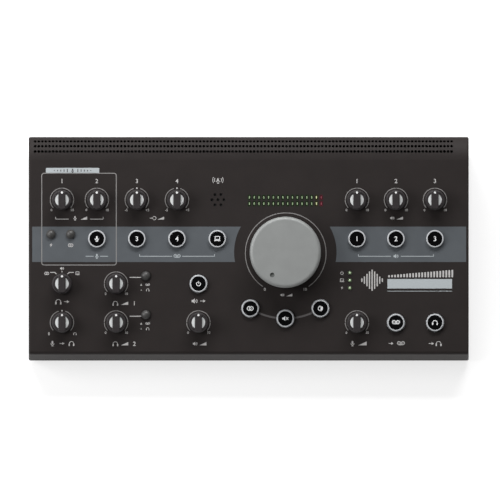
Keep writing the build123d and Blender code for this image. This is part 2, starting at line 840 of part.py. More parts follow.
def make_meter_housing():
    """Opaque block that keeps the meter's light pipes apart."""
    with BuildPart() as housing:
        with BuildSketch(at_height(-board_depth)):
            with Locations((volume_x, led_row_centre)):
                Rectangle((led_columns - 1) * led_pitch + led_window_width + 2 * meter_margin,
                          led_spread + led_window_height + 2 * meter_margin)
            led_windows(led_clearance, Mode.SUBTRACT)
        extrude(amount=board_depth - sheet)
    return housing.part


def make_status_lights():
    """Three round lights with domed ends, standing on the control board."""
    shoulder = -sheet - flange_play
    with BuildPart() as light:
        with BuildSketch(upright):
            with BuildLine():
                side = Line((status_led_radius, -sheet), (status_led_radius, 0))
                dome = JernArc(start=side @ 1, tangent=side % 1, radius=status_led_radius,
                               arc_size=quarter_turn)
                Polyline(dome @ 1, (0, -board_depth), (status_led_foot, -board_depth),
                         (status_led_foot, shoulder), (status_led_radius, shoulder), side @ 0)
            make_face()
        revolve(axis=Axis.Z)
    places = [(status_led_x, status_led_centre + step * status_led_pitch) for step in (-1, 0, 1)]
    return Compound([solid for place in places for solid in at_place(light.part, place).solids()])


def make_talkback_mic():
    """Microphone capsule behind the seven holes, in a rubber boot that stands on the board."""
    low = -sheet - fit_gap - mic_height
    capsule = post(middle, mic_radius, low, low + mic_height)
    with BuildPart() as boot:
        with BuildSketch(level.offset(-board_depth)):
            Circle(mic_radius + mic_boot_wall)
        extrude(amount=board_depth - sheet)
        with BuildSketch(level.offset(low)):
            Circle(mic_radius)
        extrude(amount=board_depth, mode=Mode.SUBTRACT)
        with BuildSketch(level.offset(low)):
            Circle(mic_radius - mic_boot_wall)
        extrude(amount=-board_depth, mode=Mode.SUBTRACT)
    return at_place(Compound(capsule.solids() + boot.part.solids()), mic_place)


def make_board_studs():
    """Studs welded under the panel for the control board, and the rear board's spacers."""
    with BuildPart() as studs:
        with BuildSketch(at_height(-board_depth)):
            with Locations(*stud_places):
                Circle(stud_radius)
                Circle(screw_radius, mode=Mode.SUBTRACT)
        extrude(amount=board_depth - sheet)
        with BuildSketch(Plane.XY.offset(floor_z)):
            with Locations(*rear_board_support_places()):
                Circle(stud_radius)
                Circle(screw_radius, mode=Mode.SUBTRACT)
        extrude(amount=sheet + rear_board_lift)
    return studs.part


def make_board_screws():
    """Screws of both boards: from below into the studs, from above into the spacers."""
    with BuildPart() as screws:
        with BuildSketch(at_height(-board_depth - board)):
            with Locations(*stud_places):
                Circle(screw_radius)
        extrude(amount=screw_length)
        with BuildSketch(at_height(-board_depth - board)):
            with Locations(*stud_places):
                Circle(screw_head_radius)
        extrude(amount=-screw_head_height)
        with BuildSketch(Plane.XY.offset(rear_board_top)):
            with Locations(*rear_board_support_places()):
                Circle(screw_radius)
        extrude(amount=-screw_length)
        with BuildSketch(Plane.XY.offset(rear_board_top)):
            with Locations(*rear_board_support_places()):
                Circle(screw_head_radius)
        extrude(amount=screw_head_height)
    return screws.part


# ================================================================ rear board and the sockets
def make_rear_board():
    """Level circuit board that carries the rear sockets."""
    with BuildPart() as pcb:
        with BuildSketch(Plane.XY.offset(rear_board_top)):
            with Locations((0, rear_inside - fit_gap - rear_board_length / 2)):
                Rectangle(2 * board_half, rear_board_length)
            with Locations(*rear_board_support_places()):
                Circle(screw_radius + bearing_gap, mode=Mode.SUBTRACT)
        extrude(amount=-board)
    return pcb.part


def rear_plane(outward=0.0):
    """Upright plane at the outside of the rear panel: local X to the right, local Y up."""
    return Plane.XZ.offset(-rear_face - outward)


def make_jack_row(places):
    """One row of 6.35 mm sockets: a body behind the rear panel and a round nose through it."""
    with BuildPart() as jacks:
        with BuildSketch(Plane.XZ.offset(-rear_inside)):
            with Locations(*places):
                Rectangle(jack_width, jack_height)
        extrude(amount=jack_length)
        with BuildSketch(rear_plane(jack_nose_length)):
            with Locations(*places):
                Circle(jack_nose)
        extrude(amount=jack_nose_length + rear_sheet)
        for radius, start, depth in socket_steps:
            with BuildSketch(rear_plane(start)):
                with Locations(*places):
                    Circle(radius)
            extrude(amount=depth, mode=Mode.SUBTRACT)
    return jacks.part


def make_line_jacks():
    """All 6.35 mm sockets.  The two rows touch where they are stacked, so each is made by itself."""
    rows = [make_jack_row([place for place in jack_places() if place[1] == z])
            for z in (lower_jack_z, upper_jack_z)]
    return Compound([solid for row in rows for solid in row.solids()])


def make_jack_nuts():
    """Hexagonal nuts on the noses of the 6.35 mm sockets."""
    with BuildPart() as nuts:
        with BuildSketch(rear_plane(jack_nut_height)):
            with Locations(*jack_places()):
                RegularPolygon(jack_nut_across / 2, 6, major_radius=False)
                Circle(jack_nose, mode=Mode.SUBTRACT)
        extrude(amount=jack_nut_height)
    return nuts.part


def make_combo_jacks():
    """Combined sockets: a round shell for a three-pin plug around a 6.35 mm bore."""
    places = [(x, combo_z) for x in combo_columns]
    with BuildPart() as combos:
        with BuildSketch(Plane.XZ.offset(-rear_inside)):
            with Locations(*places):
                Rectangle(combo_width, combo_height)
        extrude(amount=combo_length)
        with BuildSketch(rear_plane(combo_nose_length)):
            with Locations(*places):
                Circle(combo_nose)
        extrude(amount=combo_nose_length + rear_sheet)
        with BuildSketch(rear_plane(combo_nose_length)):
            with Locations(*places):
                Circle(combo_groove_outer)
                Circle(combo_core, mode=Mode.SUBTRACT)
                with PolarLocations(combo_pin_reach, 3, start_angle=-90):
                    Circle(combo_pin_radius)
        extrude(amount=combo_groove_depth, mode=Mode.SUBTRACT)
        for radius, start, depth in socket_steps:
            with BuildSketch(rear_plane(start)):
                with Locations(*places):
                    Circle(radius)
            extrude(amount=depth, mode=Mode.SUBTRACT)
    return combos.part


def make_usb_port():
    """Square data port: a metal shell with a tongue inside."""
    port_place = (usb_x, rear_board_top + usb_shell_height / 2)
    with BuildPart() as port:
        with BuildSketch(rear_plane(usb_nose_length)):
            with Locations(port_place):
                Rectangle(usb_shell_width, usb_shell_height)
        extrude(amount=usb_shell_length)
        with BuildSketch(rear_plane(usb_nose_length)):
            with Locations(port_place):
                Rectangle(usb_opening_width, usb_opening_height)
                Rectangle(usb_tongue_width, usb_tongue_height, mode=Mode.SUBTRACT)
        extrude(amount=usb_shell_length - usb_wall, mode=Mode.SUBTRACT)
    return port.part


def make_dc_inlet():
    """Power inlet: a body on the rear board with a round socket and a centre pin."""
    inlet_place = (dc_x, rear_board_top + dc_body_height / 2)
    with BuildPart() as inlet:
        with BuildSketch(Plane.XZ.offset(-rear_inside)):
            with Locations(inlet_place):
                Rectangle(dc_body_width, dc_body_height)
        extrude(amount=dc_body_length)
        with BuildSketch(rear_plane(dc_nose_length)):
            with Locations(inlet_place):
                Circle(dc_bore + dc_wall)
        extrude(amount=dc_nose_length + rear_sheet)
        with BuildSketch(rear_plane(dc_nose_length)):
            with Locations(inlet_place):
                Circle(dc_bore)
                Circle(dc_pin, mode=Mode.SUBTRACT)
        extrude(amount=dc_body_length, mode=Mode.SUBTRACT)
    return inlet.part


def make_power_switch_body():
    """Snap-in rocker switch: a bezel outside the rear panel and a body with a well behind it."""
    switch_place = (rocker_x, rocker_z)
    with BuildPart() as body:
        with BuildSketch(rear_plane(rocker_bezel_height)):
            with Locations(switch_place):
                Rectangle(rocker_cutout_width + 2 * rocker_flange, rocker_cutout_height + 2 * rocker_flange)
        extrude(amount=rocker_bezel_height)
        with BuildSketch(rear_plane()):
            with Locations(switch_place):
                Rectangle(rocker_cutout_width - 2 * rocker_fit, rocker_cutout_height - 2 * rocker_fit)
        extrude(amount=rocker_body_length)
        outer = body.faces().sort_by(Axis.Y)[-1]
        fillet(outer.edges(), rocker_bezel_edge)
        with BuildSketch(rear_plane(rocker_bezel_height)):
            with Locations(switch_place):
                Rectangle(rocker_width + 2 * rocker_clearance, 2 * (rocker_half + rocker_clearance))
        extrude(amount=rocker_bezel_height + rocker_well, mode=Mode.SUBTRACT)
        with BuildSketch(Plane.YZ.offset(rocker_x - rocker_axle_length / 2 - bearing_gap)):
            with Locations((rocker_pivot_y, rocker_z)):
                Circle(rocker_axle_radius + bearing_gap)
        extrude(amount=rocker_axle_length + 2 * bearing_gap, mode=Mode.SUBTRACT)
    return body.part


def make_power_rocker():
    """Rocker in its off position, turning on two stub axles."""
    lean = radians(-rocker_tilt)
    across = Plane(origin=(rocker_x - rocker_width / 2, rocker_pivot_y, rocker_z),
                   x_dir=(0, cos(lean), sin(lean)), z_dir=(1, 0, 0))
    with BuildPart() as rocker:
        with BuildSketch(across):
            with BuildLine():
                Polyline((rocker_dip, 0), (rocker_tip, rocker_reach), (0, rocker_half),
                         (-rocker_root, rocker_half / 2), (-rocker_root, -rocker_half / 2),
                         (0, -rocker_half), (rocker_tip, -rocker_reach), close=True)
            make_face()
        extrude(amount=rocker_width)
        with BuildSketch(Plane.YZ.offset(rocker_x - rocker_axle_length / 2)):
            with Locations((rocker_pivot_y, rocker_z)):
                Circle(rocker_axle_radius)
        extrude(amount=rocker_axle_length)
    return rocker.part


def make_ribbon_cable():
    """Flat cable between the boards, with a connector at each end."""
    upper = panel.from_local_coords((0, ribbon_u, -board_depth - board - connector_height))
    lower = (connector_y, rear_board_top + connector_height)
    route = [(upper.Y, upper.Z), (upper.Y + ribbon_run * sin(slope), upper.Z - ribbon_run * cos(slope)),
             (lower[0], lower[1] + ribbon_run), lower]
    with BuildPart() as cable:
        with BuildSketch(Plane.YZ.offset(ribbon_x - ribbon_width / 2)):
            with BuildLine() as path:
                FilletPolyline(*route, radius=ribbon_bend)
            trace(path.line, line_width=ribbon_thickness)
        extrude(amount=ribbon_width)
    with BuildPart() as top_connector:
        with BuildSketch(at_height(-board_depth - board)):
            with Locations((ribbon_x, ribbon_u)):
                Rectangle(ribbon_width + 2 * connector_wall, connector_depth)
        extrude(amount=-connector_height)
    with BuildPart() as bottom_connector:
        with BuildSketch(Plane.XY.offset(rear_board_top)):
            with Locations((ribbon_x, lower[0])):
                Rectangle(ribbon_width + 2 * connector_wall, connector_depth)
        extrude(amount=connector_height)
    return Compound(cable.part.solids() + top_connector.part.solids() + bottom_connector.part.solids())


def make_board_parts():
    """The larger parts on the rear board: relays, capacitors and the two converter chips."""
    with BuildPart() as parts:
        with BuildSketch(Plane.XY.offset(rear_board_top)):
            with Locations(*[(x, parts_y) for x in relay_columns]):
                Rectangle(relay_width, relay_length)
        extrude(amount=relay_height)
        with BuildSketch(Plane.XY.offset(rear_board_top)):
            with Locations(*[(x, parts_y) for x in capacitor_columns]):
                Circle(capacitor_radius)
        extrude(amount=capacitor_height)
        with BuildSketch(Plane.XY.offset(rear_board_top)):
            with Locations(*[(x, parts_y) for x in chip_columns]):
                Rectangle(chip_size, chip_size)
        extrude(amount=chip_height)
    return parts.part


save(make_top_cover(), "top_cover")
save(make_base_plate(), "base_plate")
save(make_rear_panel(), "rear_panel")
save(make_feet(), "rubber_feet")
save(make_case_screws(), "case_screws")
save(make_press_nuts(), "press_nuts")
knob = make_knob()
for name, place in knob_places.items():
    save(at_place(knob, place), name)
save(at_place(make_volume_knob(), volume_place), "volume_knob")
save(at_place(post(middle, shaft_radius, shaft_bottom, volume_shaft_top), volume_place), "volume_shaft")
key = make_key()
for name, place in key_places.items():
    save(at_place(key, place), name)
button = make_button()
for name, place in button_places.items():
    save(at_place(button, place), name)
save(make_control_board(), "control_board")
save(make_knob_pots(), "knob_pots")
save(make_cue_selector(), "cue_selector")
save(make_volume_pot(), "volume_pot")
save(make_switches(list(key_places.values()), switch_body, key_stem_radius), "key_switches")
save(make_switches(list(button_places.values()), switch_body, button_stem_radius), "button_switches")
save(make_meter_lights(), "meter_lights")
save(make_meter_housing(), "meter_housing")
save(make_status_lights(), "status_lights")
save(make_talkback_mic(), "talkback_mic")
save(make_board_studs(), "board_studs")
save(make_board_screws(), "board_screws")
save(make_rear_board(), "rear_board")
save(make_line_jacks(), "line_jacks")
save(make_jack_nuts(), "jack_nuts")
save(make_combo_jacks(), "combo_jacks")
save(make_usb_port(), "usb_port")
save(make_dc_inlet(), "dc_inlet")
save(make_power_switch_body(), "power_switch_body")
save(make_power_rocker(), "power_rocker")
save(make_ribbon_cable(), "ribbon_cable")
save(make_board_parts(), "board_parts")
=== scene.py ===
"""Looks of the studio monitor controller: finishes, printed marks, key legends, light, floor and camera.

Lengths are millimetres, turned into metres where they meet Blender. A place on the control panel is (x, u):
x to the right and u up the slope, both from the volume knob's centre, and w is the height above the panel.
"""
import json
import math

import bmesh
import bpy
from mathutils import Matrix, Vector

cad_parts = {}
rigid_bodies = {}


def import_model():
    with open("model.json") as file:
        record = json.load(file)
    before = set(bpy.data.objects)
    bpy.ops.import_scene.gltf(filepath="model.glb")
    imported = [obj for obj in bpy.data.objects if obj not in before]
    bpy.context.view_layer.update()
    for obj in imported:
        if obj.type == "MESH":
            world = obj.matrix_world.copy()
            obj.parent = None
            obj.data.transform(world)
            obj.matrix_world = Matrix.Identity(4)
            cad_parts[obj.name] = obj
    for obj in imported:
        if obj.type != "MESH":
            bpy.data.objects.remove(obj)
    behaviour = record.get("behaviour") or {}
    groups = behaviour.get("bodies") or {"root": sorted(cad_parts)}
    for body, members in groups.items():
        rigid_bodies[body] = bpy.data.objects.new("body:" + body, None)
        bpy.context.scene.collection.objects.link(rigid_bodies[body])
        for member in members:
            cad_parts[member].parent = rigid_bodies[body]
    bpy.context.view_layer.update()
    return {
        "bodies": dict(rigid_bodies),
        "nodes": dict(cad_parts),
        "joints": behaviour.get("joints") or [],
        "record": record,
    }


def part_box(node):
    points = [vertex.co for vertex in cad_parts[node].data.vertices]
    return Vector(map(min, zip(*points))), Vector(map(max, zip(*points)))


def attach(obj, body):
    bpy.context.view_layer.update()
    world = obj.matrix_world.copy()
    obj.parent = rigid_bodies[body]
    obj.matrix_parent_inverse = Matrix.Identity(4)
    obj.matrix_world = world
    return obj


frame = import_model()

MM = 0.001

# The photograph's frame: the length of one pixel, the frame's size in pixels and its centre on the panel
PIXEL = 0.8
FRAME_PIXELS = 500
VIEW_CENTRE = (-28.26, 1.8)
CAMERA_DISTANCE = 2500.0

# Printed layers: each starts a little under its own surface and reaches this far above it
UNDER = 0.01
BAND_TOP = 0.02
OVERPRINT_TOP = 0.02
LEGEND_TOP = 0.03
PRINT_TOP = 0.045

# Widths of printed lines
LINE = 0.6
FINE_LINE = 0.5
SYMBOL_LINE = 0.45
SMALL_SYMBOL_LINE = 0.4
TINY_SYMBOL_LINE = 0.35

# Small knobs, and the arc and numerals around each
DIAL_RADIUS = 9.4
DIAL_END = 132.0  # degrees to each side of straight up
QUARTER_GAP = 1.2  # degrees open to each side of a quarter turn
CENTRE_GAP = 16.0  # degrees open to each side of the middle, on knobs with a middle position
CENTRE_DOT_RADIUS = 0.65
DIAL_NUMBER_PLACE = (8.4, -8.1)
DIAL_NUMBER_HEIGHT = 2.0
KNOB_FACE_HEIGHT = 11.6
INSERT_RADIUS = 5.4
INSERT_DEPTH = 0.8
KNOB_DOT_OFFSET = 5.9
KNOB_DOT_RADIUS = 0.9

# Keys
KEY_FACE_RADIUS = 5.9
KEY_FACE_HEIGHT = 2.75
KEY_HOLE_RADIUS = 7.5
KEY_CIRCLE_RADIUS = 53.0  # of the arc through the three keys under the volume knob
KEY_LINK_WIDTH = 1.5
KEY_LINK_GAP = 0.15
LEGEND_HEIGHT = 3.9
LEGEND_SYMBOL_HEIGHT = 1.1 * LEGEND_HEIGHT
LEGEND_LINE = 0.6

# Volume knob
VOLUME_RING_PLACE = (0.3, -0.8)
VOLUME_RING_RADIUS = 32.3
VOLUME_RING_END = 145.4
VOLUME_NUMBERS = (("0", -16.4), ("10", 16.0))
VOLUME_NUMBER_ROW = -29.6
VOLUME_NUMBER_HEIGHT = 2.4
VOLUME_RADIUS = 28.5
VOLUME_HEIGHT = 24.0
DIMPLE_DEPTH = 2.0  # the dimple lies less than this under the top
DIMPLE_MARGIN = 4.0  # and more than this inside the edge

# Band across the keys
BAND_ABOVE = 9.7
BAND_BELOW = 18.6
BAND_LEFT = -202.5
BAND_RIGHT = 144.6
BAND_HOLE_RADIUS = 41.0

# Frame around the input controls, its title plate and the marks on the plate
BOX_HALF_WIDTH = 29.8
BOX_SHIFT = -0.3
BOX_ABOVE = 21.3
BOX_BELOW = 21.0
BOX_CORNER = 1.8
BOX_LINE = 0.68
TITLE_PLATE = (42.7, 4.3)
TITLE_PLATE_INSET = 3.3
TITLE_PLATE_CORNER = 0.7
TITLE_SYMBOL = 3.2
TITLE_STROKES = 5  # to each side of the symbol
TITLE_STROKE_START = 4.2
TITLE_STROKE_PITCH = 2.6
TITLE_STROKE_WIDTH = 0.7
TITLE_STROKE_HEIGHT = 2.6  # next to the symbol
TITLE_STROKE_DROP = 0.44  # shorter by this much at each step
TITLE_STROKE_CORNER = 0.3

# Meter: each light's bright core, and the painted glow halo in the light's colour around its window, as
# width, height and corner
METER_COLOURS = ("green", "yellow", "red")
METER_COLUMNS = 16
METER_PITCH = 3.829
METER_ROWS_APART = 5.0
METER_PLACE = (0.0, 41.4)
METER_WELL = 0.15
METER_CORE = (0.85, 2.0, 0.4)
METER_CORE_TOP = 0.1
METER_HALO = (2.16, 3.76, 0.5)
METER_HALO_WIDTH = 0.54

# Badges: two groups of bars, and a plate over a rule
BADGE_PLACE = (69.4, -22.3)
BADGE_HEIGHTS = (3.0, 6.0, 10.0, 14.0, 17.0, 14.0, 10.0, 6.0, 3.0)
BADGE_PITCH = 2.05
BADGE_BAR_WIDTH = 1.0
BADGE_BAR_CORNER = 0.45
SCALE_BARS = 22
SCALE_START = (82.3, -20.0)
SCALE_PITCH = 2.41
SCALE_BAR_WIDTH = 1.35
SCALE_HEIGHTS = (1.6, 5.9)  # of the first and the last bar
NAME_PLATE = (81.7, -29.0, 133.4, -21.4)
NAME_RULE = (81.7, -31.3, 133.4, -30.9)

# Rear panel and power rocker
REAR_FACE = 83.5
REAR_LABEL_ROW = 46.6
REAR_GROUP_ROW = 10.4
REAR_SYMBOL = 3.4
REAR_BRACKET = (4.2, 2.0, 1.8)  # its gap at the symbol, its reach past the last socket's middle, its rise
ROCKER_LEAN = -7.5  # degrees, at rest
ROCKER_DIP = 2.4  # its face's distance from the axle at the middle
ROCKER_TIP = 4.0  # and at its two ends
ROCKER_REACH = 6.8  # from the middle to an end
ROCKER_STROKE = (3.0, 0.7)  # height and width
ROCKER_RING = (1.4, 0.6)  # radius and width

# Telling the faces of a CAD piece apart
CLOSE = 0.02  # a face on a plane or circle is within this of it
FLAT = 0.9  # a face looks out of the panel if its normal's share that way is over this

# Floor, sky and lamps
FLOOR_REACH = 4000.0
FLOOR_DROP = 0.1
FLOOR_GREY = 0.55
FLOOR_LIFT = 0.66  # brings what the camera and reflections see of the floor up to white
SKY_HEIGHTS = (0.15, 0.8)  # the sky fades between these heights, 0 is the horizon and 1 straight up
SKY_STRENGTHS = (0.5, 0.12)
SKY_SIDES = (1.35, 0.65)  # times this at the far left and the far right
LAMP_TARGET = (-29.3, 0.0)


# ---------------- the panel's and the rear panel's own frames

def surface_frame(origin, right, up, out):
    """The frame of a printed surface: x runs right, y up and z out of it, from origin in metres."""
    return Matrix.Translation(origin) @ Matrix((right, up, out)).transposed().to_4x4()


def joint_of(body):
    """The joint that carries a body."""
    return next(joint for joint in frame["joints"] if joint["child"] == body)


VOLUME_JOINT = joint_of("volume_knob")
PANEL_OUT = -Vector(VOLUME_JOINT["axis"]).normalized()
PANEL_RIGHT = Vector((1, 0, 0))
PANEL_UP = PANEL_OUT.cross(PANEL_RIGHT).normalized()
PANEL = surface_frame(Vector(VOLUME_JOINT["pos_m"]), PANEL_RIGHT, PANEL_UP, PANEL_OUT)
TO_PANEL = PANEL.inverted()

REAR_RIGHT = -PANEL_RIGHT
REAR_OUT = Vector((0, 1, 0))
REAR = surface_frame(REAR_OUT * REAR_FACE * MM, REAR_RIGHT, Vector((0, 0, 1)), REAR_OUT)
TO_REAR = REAR.inverted()
SOCKETS = {mount["name"]: Vector(mount["pos_m"]) for mount in frame["record"]["mounts"]}

ROCKER_JOINT = joint_of("power_rocker")


def on_panel(x, u, w=0.0):
    """A point of the panel, in metres."""
    return PANEL @ (Vector((x, u, w)) * MM)


def place_of(control):
    """Where a round control stands on the panel, as (x, u)."""
    points = [TO_PANEL @ vertex.co / MM for vertex in frame["nodes"][control].data.vertices]
    middle_x = (min(point.x for point in points) + max(point.x for point in points)) / 2
    middle_u = (min(point.y for point in points) + max(point.y for point in points)) / 2
    return middle_x, middle_u


def beside(body, right=0.0, up=0.0):
    """A place on the panel, told from a control's centre."""
    x, u = place_of(body)
    return x + right, u + up


def middle_of(first, last):
    """How far right the middle between two controls is."""
    return (place_of(first)[0] + place_of(last)[0]) / 2


def behind(socket, right=0.0, up=0.0):
    """A place on the rear panel, seen from behind, told from a socket or a piece's middle."""
    if socket in SOCKETS:
        point = TO_REAR @ SOCKETS[socket] / MM
    else:
        low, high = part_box(socket)
        point = TO_REAR @ ((Vector(low) + Vector(high)) / 2) / MM
    return point.x + right, point.y + up


# ---------------- finishes

def map_range(tree, value, low, high, start, end):
    """Nodes that turn value's run from start to end into one from low to high."""
    node = tree.nodes.new("ShaderNodeMapRange")
    for name, number in (("From Min", start), ("From Max", end), ("To Min", low), ("To Max", high)):
        node.inputs[name].default_value = number
    tree.links.new(value, node.inputs["Value"])
    return node.outputs["Result"]


def combine(tree, operation, first, second):
    """A Math node of a value and of another value or a number."""
    node = tree.nodes.new("ShaderNodeMath")
    node.operation = operation
    tree.links.new(first, node.inputs[0])
    if isinstance(second, float):
        node.inputs[1].default_value = second
    else:
        tree.links.new(second, node.inputs[1])
    return node.outputs[0]


def linear(value):
    """One 0 to 255 colour value as a linear share."""
    share = value / 255
    return share / 12.92 if share <= 0.04045 else ((share + 0.055) / 1.055) ** 2.4


def rgb(red, green, blue):
    """A colour in 0 to 255 steps as linear red, green, blue and alpha."""
    return linear(red), linear(green), linear(blue), 1.0


class Finish:
    """A Principled material, with helpers that give it grain, mottling and relief."""

    def __init__(self, name, colour, roughness, metallic=0.0, specular=0.5):
        self.material = bpy.data.materials.new(name)
        self.material.use_nodes = True
        self.tree = self.material.node_tree
        self.shader = self.tree.nodes["Principled BSDF"]
        self.colour = colour
        self.shader.inputs["Base Color"].default_value = colour
        self.shader.inputs["Roughness"].default_value = roughness
        self.shader.inputs["Metallic"].default_value = metallic
        self.shader.inputs["Specular IOR Level"].default_value = specular

    def add(self, kind, **inputs):
        """A new node, with numbers on its inputs; a name's underscores stand for spaces."""
        node = self.tree.nodes.new(kind)
        for name, value in inputs.items():
            node.inputs[name.replace("_", " ")].default_value = value
        return node

    def link(self, output, target):
        self.tree.links.new(output, target)

    def place(self, stretch=(1.0, 1.0, 1.0)):
        """The point's place in the object's frame, stretched along its axes."""
        coordinates = self.add("ShaderNodeTexCoord")
        mapping = self.add("ShaderNodeMapping", Scale=stretch)
        self.link(coordinates.outputs["Object"], mapping.inputs["Vector"])
        return mapping.outputs["Vector"]

    def noise(self, size, detail=2.0, stretch=(1.0, 1.0, 1.0)):
        """Noise whose blots are about size millimetres across."""
        texture = self.add("ShaderNodeTexNoise", Scale=1 / (size * MM), Detail=detail)
        self.link(self.place(stretch), texture.inputs["Vector"])
        return texture.outputs["Fac"]

    def ramp(self, value, low, high, start=0.3, end=0.7):
        """Turns a value from start to end into one from low to high."""
        return map_range(self.tree, value, low, high, start, end)

    def mottle(self, value, amount):
        """Lets the colour drift lighter and darker by this share."""
        dark = tuple(part * (1 - amount) for part in self.colour[:3]) + (1.0,)
        light = tuple(min(1.0, part * (1 + amount)) for part in self.colour[:3]) + (1.0,)
        self.blend(self.ramp(value, 0.0, 1.0), dark, light)

    def blend(self, share, first, second):
        """Base colour from first to second as share goes from 0 to 1."""
        mix = self.tree.nodes.new("ShaderNodeMix")
        mix.data_type = "RGBA"
        colours = [socket for socket in mix.inputs if socket.type == "RGBA"]
        colours[0].default_value = first
        colours[1].default_value = second
        self.link(share, mix.inputs["Factor"])
        self.link(mix.outputs[2], self.shader.inputs["Base Color"])
        return mix.outputs[2]

    def roughen(self, value, low, high):
        """Lets the roughness vary between low and high."""
        self.link(self.ramp(value, low, high), self.shader.inputs["Roughness"])

    def emboss(self, value, height):
        """Relief of that height in millimetres."""
        bump = self.add("ShaderNodeBump", Distance=height * MM)
        self.link(value, bump.inputs["Height"])
        self.link(bump.outputs["Normal"], self.shader.inputs["Normal"])

    def tilt(self, low, high):
        """1 where the surface faces straight out of the panel, falling to 0 as it tilts away."""
        geometry = self.add("ShaderNodeNewGeometry")
        product = self.add("ShaderNodeVectorMath")
        product.operation = "DOT_PRODUCT"
        product.inputs[1].default_value = PANEL_OUT
        self.link(geometry.outputs["Normal"], product.inputs[0])
        return self.ramp(product.outputs["Value"], 0.0, 1.0, low, high)


def coat(name, colour, roughness, specular, blots, drift, grain, spread, relief,
         detail=3.0, bumps=None, metallic=0.0):
    """A plain finish: its colour drifts in blots, and a grain spreads its roughness and gives it relief.

    Bumps is the size of the relief's grain, where that isn't the roughness's own.
    """
    finish = Finish(name, colour, roughness, metallic, specular)
    fine = finish.noise(grain, detail)
    finish.mottle(finish.noise(blots), drift)
    finish.roughen(fine, *spread)
    finish.emboss(finish.noise(bumps) if bumps else fine, relief)
    return finish.material


def smooth_finish(name, colour, roughness, blots, drift, grain):
    """Smooth finish: its colour drifts in blots, over a slight relief."""
    finish = Finish(name, colour, roughness, specular=0.3)
    finish.mottle(finish.noise(blots), drift)
    finish.emboss(finish.noise(grain), 0.004)
    return finish.material


def ink_and_painted_halo(name, colour):
    """Screen-printed ink, a little uneven in how much of it was laid down; the meter's painted glow halos use
    it too.
    """
    finish = Finish(name, colour, 0.5, specular=0.3)
    finish.mottle(finish.noise(0.6, detail=3.0), 0.05)
    finish.emboss(finish.noise(0.25), 0.003)
    return finish.material


def key_ring():
    """Milky clear plastic."""
    finish = Finish("key_ring", rgb(184, 186, 189), 0.35, specular=0.4)
    finish.shader.inputs["Coat Weight"].default_value = 0.15
    finish.shader.inputs["Coat Roughness"].default_value = 0.12
    finish.mottle(finish.noise(1.2), 0.03)
    finish.emboss(finish.noise(0.8), 0.004)
    return finish.material


def lamp(name, core, rim, strength, first=0.86, last=0.98):
    """A small light: bright where it faces out, deeper coloured where it turns away.

    Its colour goes from rim to core as the share by which it faces out of the panel goes from first to last.
    """
    finish = Finish(name, core, 0.25, specular=0.5)
    finish.shader.inputs["Coat Weight"].default_value = 0.4
    finish.shader.inputs["Coat Roughness"].default_value = 0.08
    glow = finish.blend(finish.tilt(first, last), rim, core)
    finish.link(glow, finish.shader.inputs["Emission Color"])
    finish.shader.inputs["Emission Strength"].default_value = strength
    finish.emboss(finish.noise(0.5), 0.004)
    return finish.material


def metal(name, colour, roughness):
    """Plated steel with a fine drawn grain and a few duller patches."""
    finish = Finish(name, colour, roughness, metallic=1.0)
    grain = finish.noise(0.4, detail=4.0, stretch=(1.0, 1.0, 8.0))
    finish.mottle(finish.noise(4.0), 0.08)
    finish.roughen(grain, roughness * 0.75, roughness * 1.4)
    finish.emboss(grain, 0.003)
    return finish.material


def circuit_board():
    """Solder mask with copper tracks showing through as lighter lines."""
    finish = Finish("circuit_board", rgb(18, 48, 34), 0.32, specular=0.5)
    tracks = finish.add("ShaderNodeTexBrick", Scale=1.0)
    tracks.inputs["Brick Width"].default_value = 9 * MM
    tracks.inputs["Row Height"].default_value = 2.2 * MM
    tracks.inputs["Mortar Size"].default_value = 0.3 * MM
    finish.link(finish.place(), tracks.inputs["Vector"])
    finish.blend(tracks.outputs["Fac"], rgb(14, 42, 29), rgb(38, 82, 58))
    finish.emboss(tracks.outputs["Fac"], 0.03)
    finish.roughen(finish.noise(1.0), 0.28, 0.4)
    return finish.material


def ribbon():
    """Flat cable: one soft ridge for each wire across its width, with painted shade in the grooves and a
    painted highlight along each ridge.
    """
    finish = Finish("ribbon", rgb(142, 142, 146), 0.5, specular=0.35)
    wires = finish.add("ShaderNodeTexWave", Scale=1 / (8 * MM))
    finish.link(finish.place(), wires.inputs["Vector"])
    # painted shade and highlight: the colour is darker in the grooves and lighter on the ridges, following
    # the relief
    finish.blend(wires.outputs["Fac"], rgb(104, 104, 109), rgb(156, 156, 160))
    finish.emboss(wires.outputs["Fac"], 0.15)
    return finish.material


